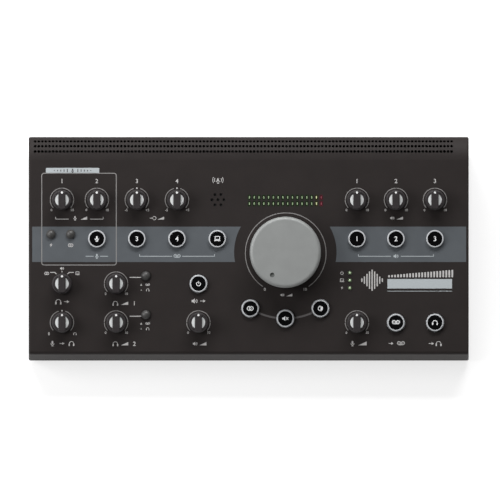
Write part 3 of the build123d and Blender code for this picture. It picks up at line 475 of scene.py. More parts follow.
# After its colour a coat has its roughness, specular level, blots' size, drift, grain's size, spread, relief
FINISHES = {
    "powder": coat("powder_coat", rgb(37, 32, 31), 0.62, 0.22, 18.0, 0.07, 0.45, (0.58, 0.66), 0.012),
    "band": coat("band_ink", rgb(83, 87, 91), 0.5, 0.25, 14.0, 0.05, 0.35, (0.45, 0.58), 0.008),
    "line_ink": ink_and_painted_halo("line_ink", rgb(134, 132, 131)),
    "label_ink": ink_and_painted_halo("label_ink", rgb(186, 184, 183)),
    "plate_ink": ink_and_painted_halo("plate_ink", rgb(172, 178, 181)),
    "dark_ink": ink_and_painted_halo("dark_ink", rgb(52, 52, 54)),
    "link_ink": ink_and_painted_halo("link_ink", rgb(94, 91, 91)),
    "legend_ink": ink_and_painted_halo("legend_ink", rgb(228, 229, 230)),
    "knob": coat("knob_plastic", rgb(44, 40, 41), 0.42, 0.4, 2.5, 0.12, 0.22, (0.36, 0.52), 0.006),
    "insert": coat("knob_insert", rgb(212, 214, 214), 0.38, 0.4, 1.6, 0.03, 0.3, (0.32, 0.46), 0.003,
                   detail=2.0, bumps=0.2),
    "pointer": smooth_finish("pointer_paint", rgb(222, 222, 222), 0.45, 0.5, 0.03, 0.15),
    "volume": coat("volume_paint", rgb(142, 144, 143), 0.46, 0.35, 9.0, 0.03, 0.3, (0.4, 0.54), 0.005,
                   metallic=0.15),
    # the dimple's faces are coloured a darker grey than the rest of the knob
    "dimple": smooth_finish("dimple_darker_grey", rgb(72, 75, 73), 0.5, 1.0, 0.05, 0.3),
    "key_ring": key_ring(),
    "key_face": coat("key_face", rgb(6, 6, 7), 0.28, 0.12, 1.5, 0.2, 0.5, (0.22, 0.36), 0.002,
                     detail=2.0, bumps=0.3),
    "button": coat("button_rubber", rgb(60, 59, 58), 0.42, 0.5, 1.5, 0.08, 0.25, (0.36, 0.5), 0.005),
    "green": lamp("lamp_green", rgb(134, 152, 120), rgb(26, 44, 20), 0.2),
    "yellow": lamp("lamp_yellow", rgb(192, 196, 152), rgb(58, 58, 16), 0.2),
    "red": lamp("lamp_red", rgb(124, 62, 72), rgb(66, 20, 28), 0.2),
    "status_green": lamp("status_green", rgb(150, 170, 134), rgb(22, 38, 16), 0.3, 0.66, 0.86),
    "dark_green": lamp("pipe_green", rgb(28, 44, 18), rgb(20, 32, 14), 0.05),
    "dark_yellow": lamp("pipe_yellow", rgb(46, 46, 12), rgb(36, 36, 10), 0.05),
    "dark_red": lamp("pipe_red", rgb(66, 20, 28), rgb(50, 14, 20), 0.05),
    # painted glow: a halo in each meter light's colour, laid around its window with the ink finish
    "outline_green": ink_and_painted_halo("outline_green", rgb(14, 32, 8)),
    "outline_yellow": ink_and_painted_halo("outline_yellow", rgb(34, 36, 6)),
    "outline_red": ink_and_painted_halo("outline_red", rgb(68, 14, 26)),
    "black": coat("black_plastic", rgb(26, 26, 27), 0.4, 0.45, 3.0, 0.15, 0.3, (0.34, 0.5), 0.006),
    "rocker": coat("rocker_plastic", rgb(18, 18, 19), 0.28, 0.5, 2.0, 0.1, 0.4, (0.24, 0.36), 0.003,
                   detail=2.0, bumps=0.25),
    "bright_steel": metal("bright_steel", rgb(196, 197, 200), 0.26),
    "nut_steel": metal("nut_steel", rgb(128, 129, 132), 0.34),
    "dark_steel": metal("dark_steel", rgb(70, 70, 72), 0.4),
    "board": circuit_board(),
    "ribbon": ribbon(),
    "rubber": coat("rubber", rgb(24, 24, 25), 0.75, 0.3, 3.0, 0.15, 0.4, (0.65, 0.85), 0.02, detail=4.0),
}


# ---------------- printing

def circle_points(centre, radius, start=0.0, end=360.0, step=6.0):
    """Points on an arc, angles in degrees clockwise from straight up."""
    count = max(3, math.ceil(abs(end - start) / step))
    turns = [math.radians(start + (end - start) * i / count) for i in range(count + 1)]
    return [(centre[0] + radius * math.sin(t), centre[1] + radius * math.cos(t)) for t in turns]


def box_points(left, bottom, right, top, corner=0.0):
    """A rectangle's outline, with round corners if corner isn't 0, anticlockwise."""
    if not corner:
        return [(left, bottom), (right, bottom), (right, top), (left, top)]
    corners = [
        ((right - corner, top - corner), 0.0),
        ((right - corner, bottom + corner), 90.0),
        ((left + corner, bottom + corner), 180.0),
        ((left + corner, top - corner), 270.0),
    ]
    points = []
    for centre, start in corners:
        points += circle_points(centre, corner, start, start + 90.0, 22.5)
    return points


def box_around(centre, width, height, corner=0.0):
    """The outline of a rectangle around its centre."""
    x, u = centre
    return box_points(x - width / 2, u - height / 2, x + width / 2, u + height / 2, corner)


class Print:
    """Flat shapes printed on one surface, collected and made into one thin piece."""

    MITRE_LIMIT = 0.5  # a corner's mitre reaches at most half the line's width divided by this

    def __init__(self, surface=PANEL, base=0.0, top=PRINT_TOP):
        self.mesh = bmesh.new()
        self.surface = surface
        self.base = base
        self.top = top
        self.at((0.0, 0.0))

    def at(self, place, scale=1.0, line=LINE):
        """Later shapes are told from this place and at this scale, in lines of this width."""
        self.origin = place
        self.scale = scale
        self.line = line

    def corner(self, point):
        """A new corner of the mesh, at a point told from the present place."""
        x = self.origin[0] + point[0] * self.scale
        u = self.origin[1] + point[1] * self.scale
        return self.mesh.verts.new((x, u, 0.0))

    def fill(self, points):
        """A filled outline."""
        self.mesh.faces.new([self.corner(point) for point in points])

    def disc(self, centre, radius, step=20.0):
        """A filled circle; step is the angle between its corners."""
        self.fill(circle_points(centre, radius, 0.0, 360.0 - step, step))

    def stroke(self, points, width=None, closed=False):
        """A line of even width along the points, with mitred corners."""
        half = (width or self.line) / self.scale / 2
        count = len(points)
        sides = []
        for i, point in enumerate(points):
            before = Vector(points[i - 1]) if closed or i else None
            after = Vector(points[(i + 1) % count]) if closed or i < count - 1 else None
            here = Vector(point)
            ahead = (after - here).normalized() if after else (here - before).normalized()
            past = (here - before).normalized() if before else ahead
            along = (ahead + past).normalized()
            across = Vector((-along.y, along.x))
            reach = half / max(self.MITRE_LIMIT, along.dot(ahead))
            sides.append((self.corner(here - across * reach), self.corner(here + across * reach)))
        last = count if closed else count - 1
        for i in range(last):
            low, high = sides[i]
            next_low, next_high = sides[(i + 1) % count]
            self.mesh.faces.new((low, next_low, next_high, high))

    def ring(self, centre, radius, step, width=None):
        """A closed circular line."""
        self.stroke(circle_points(centre, radius, 0.0, 360.0 - step, step), width, closed=True)

    def arc(self, centre, radius, start, end, step=4.0, width=None):
        """A circular line, its angles in degrees clockwise from straight up."""
        self.stroke(circle_points(centre, radius, start, end, step), width)

    def numerals(self, text, place, height):
        """Plain numerals of that height, centred on place."""
        curve = bpy.data.curves.new("numerals", "FONT")
        curve.body = text
        curve.align_x = "CENTER"
        curve.align_y = "CENTER"
        curve.resolution_u = 3
        curve.offset = 0.012
        holder = bpy.data.objects.new("numerals", curve)
        flat = bpy.data.meshes.new_from_object(holder)
        left, right = (pick(vertex.co.x for vertex in flat.vertices) for pick in (min, max))
        low, high = (pick(vertex.co.y for vertex in flat.vertices) for pick in (min, max))
        middle_x = (left + right) / 2
        middle_y = (low + high) / 2
        size = height / (high - low)
        corners = []
        for vertex in flat.vertices:
            x = place[0] + (vertex.co.x - middle_x) * size
            u = place[1] + (vertex.co.y - middle_y) * size
            corners.append(self.corner((x, u)))
        for face in flat.polygons:
            self.mesh.faces.new([corners[i] for i in face.vertices])
        bpy.data.objects.remove(holder)
        bpy.data.curves.remove(curve)
        bpy.data.meshes.remove(flat)

    def piece(self, name, finish, body="case", slot="case_paint"):
        """Makes the collected shapes solid, puts them on the surface and lets them ride on the body."""
        bmesh.ops.recalc_face_normals(self.mesh, faces=self.mesh.faces[:])
        for face in self.mesh.faces:
            if face.normal.z < 0:
                face.normal_flip()
        lid = bmesh.ops.extrude_face_region(self.mesh, geom=self.mesh.faces[:], use_keep_orig=True)
        raised = [part for part in lid["geom"] if isinstance(part, bmesh.types.BMVert)]
        bmesh.ops.translate(self.mesh, verts=raised, vec=(0, 0, self.top + UNDER))
        bmesh.ops.translate(self.mesh, verts=self.mesh.verts[:], vec=(0, 0, self.base - UNDER))
        bmesh.ops.recalc_face_normals(self.mesh, faces=self.mesh.faces[:])
        bmesh.ops.scale(self.mesh, verts=self.mesh.verts[:], vec=(MM, MM, MM))
        bmesh.ops.transform(self.mesh, verts=self.mesh.verts[:], matrix=self.surface)
        data = bpy.data.meshes.new(name)
        self.mesh.to_mesh(data)
        self.mesh.free()
        data.materials.append(FINISHES[finish])
        piece = bpy.data.objects.new(name, data)
        bpy.context.scene.collection.objects.link(piece)
        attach(piece, body)


# ---------------- symbols, drawn about 2 units tall around (0, 0)

def draw_headphones(page):
    page.arc((0, -0.1), 0.85, -90.0, 90.0, 15.0)
    for side in (-1, 1):
        page.fill(box_points(side * 0.85 - 0.24, -0.95, side * 0.85 + 0.24, -0.05, 0.12))


def draw_horn(page, left):
    """A loudspeaker seen from its side, which starts that far left."""
    outline = ((0.0, -0.38), (0.45, -0.38), (1.05, -0.9), (1.05, 0.9), (0.45, 0.38), (0.0, 0.38))
    page.fill([(left + x, u) for x, u in outline])


def draw_speaker(page):
    draw_horn(page, -1.0)
    for reach in (0.55, 1.0):
        page.arc((-0.1, 0.0), reach, 48.0, 132.0, 14.0)


def draw_microphone(page):
    page.fill(box_points(-0.32, -0.2, 0.32, 1.0, 0.31))
    page.arc((0, 0.05), 0.62, 90.0, 270.0, 15.0)
    page.stroke([(0, -0.55), (0, -0.95)])
    page.stroke([(-0.4, -0.95), (0.4, -0.95)])


def draw_talkback(page):
    """A microphone between sound waves."""
    draw_microphone(page)
    for side in (-90.0, 90.0):
        for reach in (1.35, 2.0):
            page.arc((0, 0.3), reach, side - 32.0, side + 32.0, 16.0)


def draw_reels(page):
    for side in (-1, 1):
        page.ring((side * 0.75, 0.15), 0.6, 20.0)
        page.disc((side * 0.75, 0.15), 0.2, 40.0)
    page.stroke([(-0.75, -0.5), (0.75, -0.5)])


def draw_computer(page):
    page.stroke(box_points(-0.85, -0.3, 0.85, 0.85, 0.12), closed=True)
    page.stroke([(-1.15, -0.7), (1.15, -0.7)])


def draw_mute(page):
    draw_horn(page, -1.1)
    page.stroke([(0.25, -0.45), (1.1, 0.45)])
    page.stroke([(0.25, 0.45), (1.1, -0.45)])


def draw_mono(page):
    """Two rings that overlap: two sides made into one."""
    for side in (-1, 1):
        page.ring((side * 0.4, 0), 0.72, 18.0)


def draw_dim(page):
    """A ring, half of it filled."""
    page.ring((0, 0), 0.85, 18.0)
    page.fill(circle_points((0, 0), 0.85, 0.0, 180.0, 20.0))


def draw_ramp(page):
    """A wedge that grows to the right: level or gain."""
    page.fill([(-1.6, -0.7), (1.6, -0.7), (1.6, 0.75)])


def draw_bolt(page):
    page.fill([(0.25, 1.0), (-0.6, -0.15), (-0.05, -0.15), (-0.25, -1.0), (0.6, 0.2), (0.05, 0.2)])


def draw_power(page):
    page.arc((0, -0.1), 0.75, 35.0, 325.0, 16.0)
    page.stroke([(0, 0.05), (0, 0.95)])


def draw_arrow(page):
    page.stroke([(-0.9, 0), (0.2, 0)])
    page.fill([(0.1, 0.5), (0.1, -0.5), (0.95, 0)])


def draw_up(page):
    page.fill([(-0.6, -0.5), (0.6, -0.5), (0, 0.7)])


def draw_polarity(page):
    """A coaxial plug's poles: minus on the sleeve, plus on the pin."""
    page.disc((0, 0), 0.3, 30.0)
    page.arc((0, 0), 0.8, -60.0, 240.0, 15.0)
    for start, end in ((-1.5, -0.8), (0.25, 1.5), (-2.6, -1.9), (1.9, 2.7)):
        page.stroke([(start, 0), (end, 0)])
    page.stroke([(2.3, -0.4), (2.3, 0.4)])


def draw_socket(page):
    """An arrow into a socket."""
    page.stroke([(-1.6, 0), (-0.4, 0)])
    page.fill([(-0.5, 0.5), (-0.5, -0.5), (0.3, 0)])
    page.arc((0.7, 0), 0.85, -40.0, 220.0, 15.0)


SYMBOLS = {
    "headphones": draw_headphones, "speaker": draw_speaker, "microphone": draw_microphone,
    "talkback": draw_talkback, "reels": draw_reels, "computer": draw_computer, "mute": draw_mute,
    "mono": draw_mono, "dim": draw_dim, "ramp": draw_ramp, "bolt": draw_bolt, "power": draw_power,
    "arrow": draw_arrow, "up": draw_up, "polarity": draw_polarity, "socket": draw_socket,
}


def draw(page, symbol, place, height, line=SYMBOL_LINE):
    """One pictogram, in lines of that width, or plain numerals: about that high and centred on place."""
    if symbol not in SYMBOLS:
        page.numerals(symbol, place, height)
        return
    page.at(place, height / 2, line)
    SYMBOLS[symbol](page)
    page.at((0.0, 0.0))


def draw_row(page, symbols, place, height, spacing):
    """Several symbols side by side, centred on place."""
    start = place[0] - spacing * (len(symbols) - 1) / 2
    for i, symbol in enumerate(symbols):
        draw(page, symbol, (start + spacing * i, place[1]), height)


def draw_beside(page, control, symbols, line=SYMBOL_LINE):
    """Symbols beside a control, each with how far right of it and above it they are, and their height."""
    for symbol, right, up, height in symbols:
        draw(page, symbol, beside(control, right, up), height, line)


def bracket(page, near, far, row, rise, foot=0.0):
    """A level rule from near to far, and a tip at its far end that rises from foot under it."""
    page.stroke([(near, row), (far, row)], FINE_LINE)
    if rise:
        page.stroke([(far, row - foot), (far, row + rise)], FINE_LINE)


# ---------------- what is printed on the panel

TRIM_DIALS = ("trim_knob_34", "trim_knob_56")
CENTRED_DIALS = TRIM_DIALS + ("direct_monitor_knob",)
FULL_DIALS = ("gain_knob_1", "gain_knob_2", "trim_knob_a", "trim_knob_b", "trim_knob_c",
              "phones_knob_1", "phones_knob_2", "studio_level_knob", "talkback_level_knob")

# The numerals over the knobs of the top row
TOP_LABELS = {"gain_knob_1": "1", "gain_knob_2": "2", "trim_knob_34": "3", "trim_knob_56": "4",
              "trim_knob_a": "1", "trim_knob_b": "2", "trim_knob_c": "3"}
TOP_LABEL_RISE = 15.1
LABEL_HEIGHT = 3.4

# Pictograms with their control: how far right of it and above it the middle of their row is, their height and
# the distance between their centres
SYMBOL_ROWS = (
    ("phantom_button", ("bolt",), 0.0, -8.6, 3.6, 0.0),
    ("mono_input_button", ("mono",), 0.0, -8.8, 3.4, 0.0),
    ("trim_knob_b", ("speaker", "ramp"), 0.0, -14.6, 3.2, 6.0),
    ("cue_source_knob", ("headphones", "arrow"), 0.4, -14.4, 4.6, 6.6),
    ("direct_monitor_knob", ("microphone", "arrow", "headphones"), 0.0, -16.8, 4.2, 7.6),
    ("studio_on_key", ("speaker", "arrow"), 0.2, -13.9, 4.6, 6.6),
    ("studio_level_knob", ("speaker", "ramp"), 0.4, -17.0, 3.6, 6.2),
    ("talkback_level_knob", ("microphone", "ramp"), 0.4, -16.8, 4.2, 8.0),
    ("talk_to_tape_key", ("arrow", "reels"), 0.0, -16.8, 4.2, 8.0),
    ("talk_to_cue_key", ("arrow", "headphones"), 0.0, -16.8, 4.4, 5.8),
)
GAIN_LABEL_DROP = 14.6
GAIN_BRACKET = (8.6, 19.0, 0.8, 1.8)  # its start and end beside the middle, its drop and its tip's rise
VOLUME_SYMBOL_PLACE = (0.4, -34.2)
TALKBACK_PLACE = (-53.9, 57.2)

# Pictograms as draw_beside takes them: how far right of their control and above it, and their height
BALANCE_SYMBOLS = (("microphone", -10.4, -8.9, 2.4), ("headphones", 10.4, -8.9, 2.4))
PHONES_SWITCH_TRIANGLES = (("up", 20.1, -0.9, 2.8), ("up", 20.1, -5.1, 1.8))
PHONES_SWITCH_SYMBOLS = (("reels", 25.3, -0.9, 2.4), ("headphones", 25.3, -5.0, 2.4))
CUE_SYMBOLS = (("mono", -12.2, 8.2, 3.0), ("speaker", 0.0, 12.2, 3.0), ("computer", 12.4, 8.2, 3.0))

# The headphone knobs' labels, each with its numeral and its drop, and the lead to the knob's button
PHONES_LABELS = (("phones_knob_1", "1", 15.7), ("phones_knob_2", "2", 17.0))
PHONES_LEAD = ((10.8, 5.0), (20.2, 5.0))

# The leads to the cue source's outer positions and the tick at its middle one
CUE_LEAD = ((4.4, 7.6), (5.8, 9.0), (9.4, 9.0))
CUE_TICK = ((0.0, 9.0), (0.0, 10.2))

# Pictograms under the keys on the band: the group's first and last key, the rules' start and end beside the
# pictogram, and how far the rules' tips rise
BAND_GROUPS = (
    ("source_key_12", "source_key_12", "microphone", 2.6, 9.0, 0.0),
    ("source_key_34", "source_key_computer", "reels", 4.0, 30.0, 1.6),
    ("monitor_key_a", "monitor_key_c", "speaker", 4.0, 30.0, 1.6),
)
BAND_LABEL_DROP = 14.0
BAND_SYMBOL_HEIGHT = 3.8

STATUS_SYMBOLS = (("power", -16.5), ("computer", -22.5), ("bolt", -28.5))
STATUS_SYMBOL_COLUMN = 45.3
STATUS_SYMBOL_HEIGHT = 3.0

# The rear panel's labels: in a row over the sockets, each so far right of its socket, then over one socket or
# piece, each so far above it, and along a group
REAR_ROW = (
    ("mic_line_in_1", "microphone", -2.6), ("mic_line_in_1", "1", 2.4),
    ("mic_line_in_2", "microphone", -2.6), ("mic_line_in_2", "2", 2.4),
    ("line_in_34_upper", "3", 0.0), ("line_in_56_upper", "4", 0.0),
    ("monitor_out_a_upper", "1", 0.0), ("monitor_out_b_upper", "2", 0.0), ("monitor_out_c_upper", "3", 0.0),
    ("studio_out_upper", "speaker", 0.0), ("tape_out_upper", "reels", 0.0),
    ("phones_out_upper", "headphones", 0.0),
)
REAR_SYMBOLS = (("pedal_in", "microphone", 10.6), ("usb_port", "computer", 9.4),
                ("power_switch_body", "power", 15.0), ("dc_inlet", "polarity", 9.4))
REAR_GROUPS = (("line_in_34_upper", "line_in_56_upper", "socket"),
               ("monitor_out_a_upper", "monitor_out_c_upper", "speaker"))
PHONES_SOCKETS = (("phones_out_upper", "1"), ("phones_out_lower", "2"))
PHONES_SOCKET_SHIFT = 9.0
PHONES_SOCKET_NUMERAL = 2.6


def source_row():
    """How far up the panel the row of source keys is."""
    return place_of("source_key_12")[1]


def print_band():
    """The grey band across the keys, open around the volume knob."""
    page = Print(top=BAND_TOP)
    top = source_row() + BAND_ABOVE
    bottom = source_row() - BAND_BELOW
    turn_top = math.degrees(math.acos(top / BAND_HOLE_RADIUS))
    turn_bottom = math.degrees(math.acos(bottom / BAND_HOLE_RADIUS))
    right_arc = circle_points((0, 0), BAND_HOLE_RADIUS, turn_top, turn_bottom, 3.0)
    left_arc = [(-x, u) for x, u in right_arc]
    page.fill(right_arc + [(BAND_RIGHT, bottom), (BAND_RIGHT, top)])
    page.fill(left_arc + [(BAND_LEFT, bottom), (BAND_LEFT, top)])
    page.piece("printed_band", "band")


def print_box():
    """The frame around the input controls, and its title plate with a pictogram between short strokes."""
    middle = middle_of("gain_knob_1", "gain_knob_2") + BOX_SHIFT
    top = place_of("gain_knob_1")[1] + BOX_ABOVE
    bottom = source_row() - BOX_BELOW
    left = middle - BOX_HALF_WIDTH
    page = Print()
    outline = box_points(left, bottom, middle + BOX_HALF_WIDTH, top, BOX_CORNER)
    page.stroke(outline, BOX_LINE, closed=True)
    page.piece("input_box_line", "line_ink")
    width, height = TITLE_PLATE
    x = left + TITLE_PLATE_INSET + width / 2
    u = top + height / 2
    plate = Print()
    plate.fill(box_around((x, u), width, height, TITLE_PLATE_CORNER))
    plate.piece("input_title_plate", "plate_ink")
    mark = Print(base=PRINT_TOP, top=OVERPRINT_TOP)
    draw(mark, "microphone", (x, u), TITLE_SYMBOL)
    for side in (-1, 1):
        for step in range(TITLE_STROKES):
            reach = side * (TITLE_STROKE_START + TITLE_STROKE_PITCH * step)
            length = TITLE_STROKE_HEIGHT - TITLE_STROKE_DROP * step
            mark.fill(box_around((x + reach, u), TITLE_STROKE_WIDTH, length, TITLE_STROKE_CORNER))
    mark.piece("input_title_mark", "dark_ink")


def print_dials():
    """An arc around each small knob, with small gaps at the quarters or an open centre."""
    page = Print()
    quarters = (-90.0, 0.0, 90.0)
    for bodies, gap, breaks in ((FULL_DIALS, QUARTER_GAP, quarters), (CENTRED_DIALS, CENTRE_GAP, (0.0,))):
        starts = [-DIAL_END] + [turn + gap for turn in breaks]
        ends = [turn - gap for turn in breaks] + [DIAL_END]
        for body in bodies:
            for start, end in zip(starts, ends):
                page.arc(place_of(body), DIAL_RADIUS, start, end)
    page.arc(VOLUME_RING_PLACE, VOLUME_RING_RADIUS, -VOLUME_RING_END, VOLUME_RING_END, 3.0)
    page.piece("dial_arcs", "line_ink")


def print_key_link():
    """The broad arc that joins the three keys under the volume knob."""
    page = Print()
    x, u = place_of("dim_key")
    turn = math.degrees(math.atan2(x, -u))
    hidden = math.degrees((KEY_HOLE_RADIUS + KEY_LINK_GAP) / KEY_CIRCLE_RADIUS)
    for side in (-1, 1):
        start = 180.0 + side * hidden
        end = 180.0 + side * (turn - hidden)
        page.arc((0, 0), KEY_CIRCLE_RADIUS, start, end, 3.0, KEY_LINK_WIDTH)
    page.piece("key_link_arc", "link_ink")


def print_numbers():
    """Numerals at the dials' ends and over the knobs, and a dot over each knob with a middle position."""
    page = Print()
    for body, text in TOP_LABELS.items():
        page.numerals(text, beside(body, 0.0, TOP_LABEL_RISE), LABEL_HEIGHT)
    reach, drop = DIAL_NUMBER_PLACE
    for bodies, low, high in ((FULL_DIALS, "0", "10"), (TRIM_DIALS, "-5", "+5")):
        for body in bodies:
            page.numerals(low, beside(body, -reach, drop), DIAL_NUMBER_HEIGHT)
            page.numerals(high, beside(body, reach, drop), DIAL_NUMBER_HEIGHT)
    for text, x in VOLUME_NUMBERS:
        page.numerals(text, (x, VOLUME_NUMBER_ROW), VOLUME_NUMBER_HEIGHT)
    for body in CENTRED_DIALS:
        page.disc(beside(body, 0.0, DIAL_RADIUS), CENTRE_DOT_RADIUS)
    page.piece("dial_numbers", "label_ink")


def print_symbols():
    """Pictograms that name the controls."""
    page = Print()
    for control, symbols, right, up, height, spacing in SYMBOL_ROWS:
        draw_row(page, symbols, beside(control, right, up), height, spacing)
    row = place_of("gain_knob_1")[1] - GAIN_LABEL_DROP
    middle = middle_of("gain_knob_1", "gain_knob_2")
    draw_row(page, ("microphone", "ramp"), (middle, row), height=3.4, spacing=7.0)
    near, far, drop, rise = GAIN_BRACKET
    for side in (-1, 1):
        bracket(page, middle + side * near, middle + side * far, row - drop, rise)
    draw_row(page, ("socket", "ramp"), (middle_of(*TRIM_DIALS), row), height=3.2, spacing=6.4)
    draw_row(page, ("speaker", "ramp"), VOLUME_SYMBOL_PLACE, height=3.0, spacing=5.6)
    draw(page, "talkback", TALKBACK_PLACE, height=4.2)
    draw_beside(page, "direct_monitor_knob", BALANCE_SYMBOLS, TINY_SYMBOL_LINE)
    for body, text, drop in PHONES_LABELS:
        draw_beside(page, body, (("headphones", -0.6, -drop, 4.2), ("ramp", 6.8, -drop, 3.6)))
        draw(page, text, beside(body, 14.6, -drop), LABEL_HEIGHT)
        page.stroke([beside(body, right, up) for right, up in PHONES_LEAD])
        draw_beside(page, body, PHONES_SWITCH_TRIANGLES)
        draw_beside(page, body, PHONES_SWITCH_SYMBOLS, TINY_SYMBOL_LINE)
    page.piece("control_symbols", "label_ink")


def print_group_labels():
    """Pictograms on the band, each between two rules that reach along its group of keys."""
    page = Print()
    row = source_row() - BAND_LABEL_DROP
    for first, last, symbol, near, far, rise in BAND_GROUPS:
        middle = middle_of(first, last)
        draw(page, symbol, (middle, row), BAND_SYMBOL_HEIGHT)
        for side in (-1, 1):
            bracket(page, middle + side * near, middle + side * far, row, rise, FINE_LINE / 2)
    page.piece("band_symbols", "plate_ink")


def print_cue_selector_marks():
    """Leads and pictograms for the cue source's three positions."""
    page = Print()
    for side in (-1, 1):
        page.stroke([beside("cue_source_knob", side * right, up) for right, up in CUE_LEAD])
    page.stroke([beside("cue_source_knob", right, up) for right, up in CUE_TICK])
    draw_beside(page, "cue_source_knob", CUE_SYMBOLS, SMALL_SYMBOL_LINE)
    page.piece("cue_selector_marks", "label_ink")


def print_status_symbols():
    """Power, computer and microphone supply, one beside each status light."""
    page = Print()
    for symbol, row in STATUS_SYMBOLS:
        draw(page, symbol, (STATUS_SYMBOL_COLUMN, row), STATUS_SYMBOL_HEIGHT, SMALL_SYMBOL_LINE)
    page.piece("status_symbols", "label_ink")


def print_rear_marks():
    """Pictograms and numerals beside the sockets of the rear panel."""
    page = Print(REAR)
    for socket, symbol, right in REAR_ROW:
        draw(page, symbol, (behind(socket)[0] + right, REAR_LABEL_ROW), REAR_SYMBOL)
    for piece, symbol, up in REAR_SYMBOLS:
        draw(page, symbol, behind(piece, 0.0, up), REAR_SYMBOL)
    for socket, text in PHONES_SOCKETS:
        draw(page, text, behind(socket, PHONES_SOCKET_SHIFT, 0.0), PHONES_SOCKET_NUMERAL)
    gap, overhang, rise = REAR_BRACKET
    for first, last, symbol in REAR_GROUPS:
        ends = (behind(first)[0], behind(last)[0])
        middle = sum(ends) / 2
        draw(page, symbol, (middle, REAR_GROUP_ROW), REAR_SYMBOL)
        for end in ends:
            side = math.copysign(1.0, end - middle)
            bracket(page, middle + side * gap, end + side * overhang, REAR_GROUP_ROW, rise)
    page.piece("rear_marks", "label_ink")


def rocker_half(side):
    """The frame of one half of the rocker's face: 1 is the upper half, -1 the lower one."""
    lean = math.radians(ROCKER_LEAN)
    outward = Vector((0, math.cos(lean), math.sin(lean)))
    upward = Vector((0, -math.sin(lean), math.cos(lean)))
    rise = (outward * side * (ROCKER_TIP - ROCKER_DIP) + upward * ROCKER_REACH).normalized()
    middle = outward * (ROCKER_DIP + ROCKER_TIP) / 2 + upward * side * ROCKER_REACH / 2
    origin = Vector(ROCKER_JOINT["pos_m"]) + middle * MM
    return surface_frame(origin, REAR_RIGHT, rise, REAR_RIGHT.cross(rise))


def print_rocker_marks():
    """A stroke on the rocker's on side and a ring on its off side."""
    height, width = ROCKER_STROKE
    on_mark = Print(rocker_half(1), top=LEGEND_TOP)
    on_mark.stroke([(0, -height / 2), (0, height / 2)], width)
    on_mark.piece("rocker_on_mark", "legend_ink", "power_rocker", "gloss_black")
    radius, width = ROCKER_RING
    off_mark = Print(rocker_half(-1), top=LEGEND_TOP)
    off_mark.ring((0, 0), radius, 15.0, width)
    off_mark.piece("rocker_off_mark", "legend_ink", "power_rocker", "gloss_black")


def print_badge():
    """A group of level bars, a rising scale and a bare plate, where a maker would print its marks."""
    bars = Print()
    x, u = BADGE_PLACE
    for i, height in enumerate(BADGE_HEIGHTS):
        place = (x + (i - (len(BADGE_HEIGHTS) - 1) / 2) * BADGE_PITCH, u)
        bars.fill(box_around(place, BADGE_BAR_WIDTH, height, BADGE_BAR_CORNER))
    bars.piece("badge_bars", "label_ink")
    scale = Print()
    x, u = SCALE_START
    low, high = SCALE_HEIGHTS
    for i in range(SCALE_BARS):
        left = x + i * SCALE_PITCH
        height = low + (high - low) * i / (SCALE_BARS - 1)
        scale.fill(box_points(left, u, left + SCALE_BAR_WIDTH, u + height))
    scale.piece("level_scale", "label_ink")
    plate = Print()
    plate.fill(box_points(*NAME_PLATE))
    plate.fill(box_points(*NAME_RULE))
    plate.piece("name_plate", "plate_ink")


# ---------------- key legends

KEY_LEGENDS = {
    "source_key_34": "3", "source_key_56": "4", "monitor_key_a": "1", "monitor_key_b": "2",
    "monitor_key_c": "3", "source_key_12": "microphone", "source_key_computer": "computer",
    "studio_on_key": "power", "mono_key": "mono", "mute_key": "mute", "dim_key": "dim",
    "talk_to_tape_key": "reels", "talk_to_cue_key": "headphones",
}


def print_legends():
    """A numeral or a pictogram on each key's face."""
    for body, legend in KEY_LEGENDS.items():
        page = Print(base=KEY_FACE_HEIGHT, top=LEGEND_TOP)
        height = LEGEND_SYMBOL_HEIGHT if legend in SYMBOLS else LEGEND_HEIGHT
        draw(page, legend, place_of(body), height, LEGEND_LINE)
        page.piece(body + "_legend", "legend_ink", body, "key_plastic")


# ---------------- meter

def meter_places(colour):
    """The centres of that colour's lights: the last column is red, the one before it yellow."""
    colours = ["green"] * (METER_COLUMNS - 2) + ["yellow", "red"]
    for row in (-1, 1):
        for column, name in enumerate(colours):
            if name == colour:
                x = METER_PLACE[0] + (column - (METER_COLUMNS - 1) / 2) * METER_PITCH
                yield x, METER_PLACE[1] + row * METER_ROWS_APART / 2


def light_meter():
    """The bright core of each meter light, on the end of its pipe."""
    for colour in METER_COLOURS:
        page = Print(base=-METER_WELL, top=METER_CORE_TOP)
        for place in meter_places(colour):
            page.fill(box_around(place, *METER_CORE))
        page.piece("meter_glow_" + colour, colour, "case", "light_pipe")


def paint_meter_halos():
    """A painted glow halo of deep colour around each meter window, laid on the panel like ink."""
    for colour in METER_COLOURS:
        page = Print()
        for place in meter_places(colour):
            page.stroke(box_around(place, *METER_HALO), METER_HALO_WIDTH, closed=True)
        page.piece("meter_painted_halo_" + colour, "outline_" + colour)


# ---------------- finishes of the CAD pieces

FINISHED_NODES = {
    "powder": ("top_cover", "base_plate", "rear_panel"),
    "rubber": ("rubber_feet",),
    "dark_steel": ("case_screws", "board_screws"),
    "bright_steel": ("press_nuts", "knob_pots", "cue_selector", "volume_pot", "board_studs", "volume_shaft"),
    "board": ("control_board", "rear_board"),
    "black": ("key_switches", "button_switches", "meter_housing", "talkback_mic", "line_jacks",
              "combo_jacks", "dc_inlet", "power_switch_body", "board_parts"),
    "status_green": ("status_lights",),
    "nut_steel": ("jack_nuts", "usb_port"),
    "rocker": ("power_rocker",),
    "ribbon": ("ribbon_cable",),
}


def set_finishes(node, finishes, choose=None):
    """Gives a CAD node its finishes; choose tells which of them a face has."""
    data = frame["nodes"][node].data
    data.materials.clear()
    for finish in finishes:
        data.materials.append(FINISHES[finish])
    for face in data.polygons:
        face.material_index = choose(face) if choose else 0


def panel_point(point, centre=(0.0, 0.0)):
    """A point of a mesh as x, u and w in millimetres, told from a place on the panel."""
    local = TO_PANEL @ point / MM
    return local.x - centre[0], local.y - centre[1], local.z


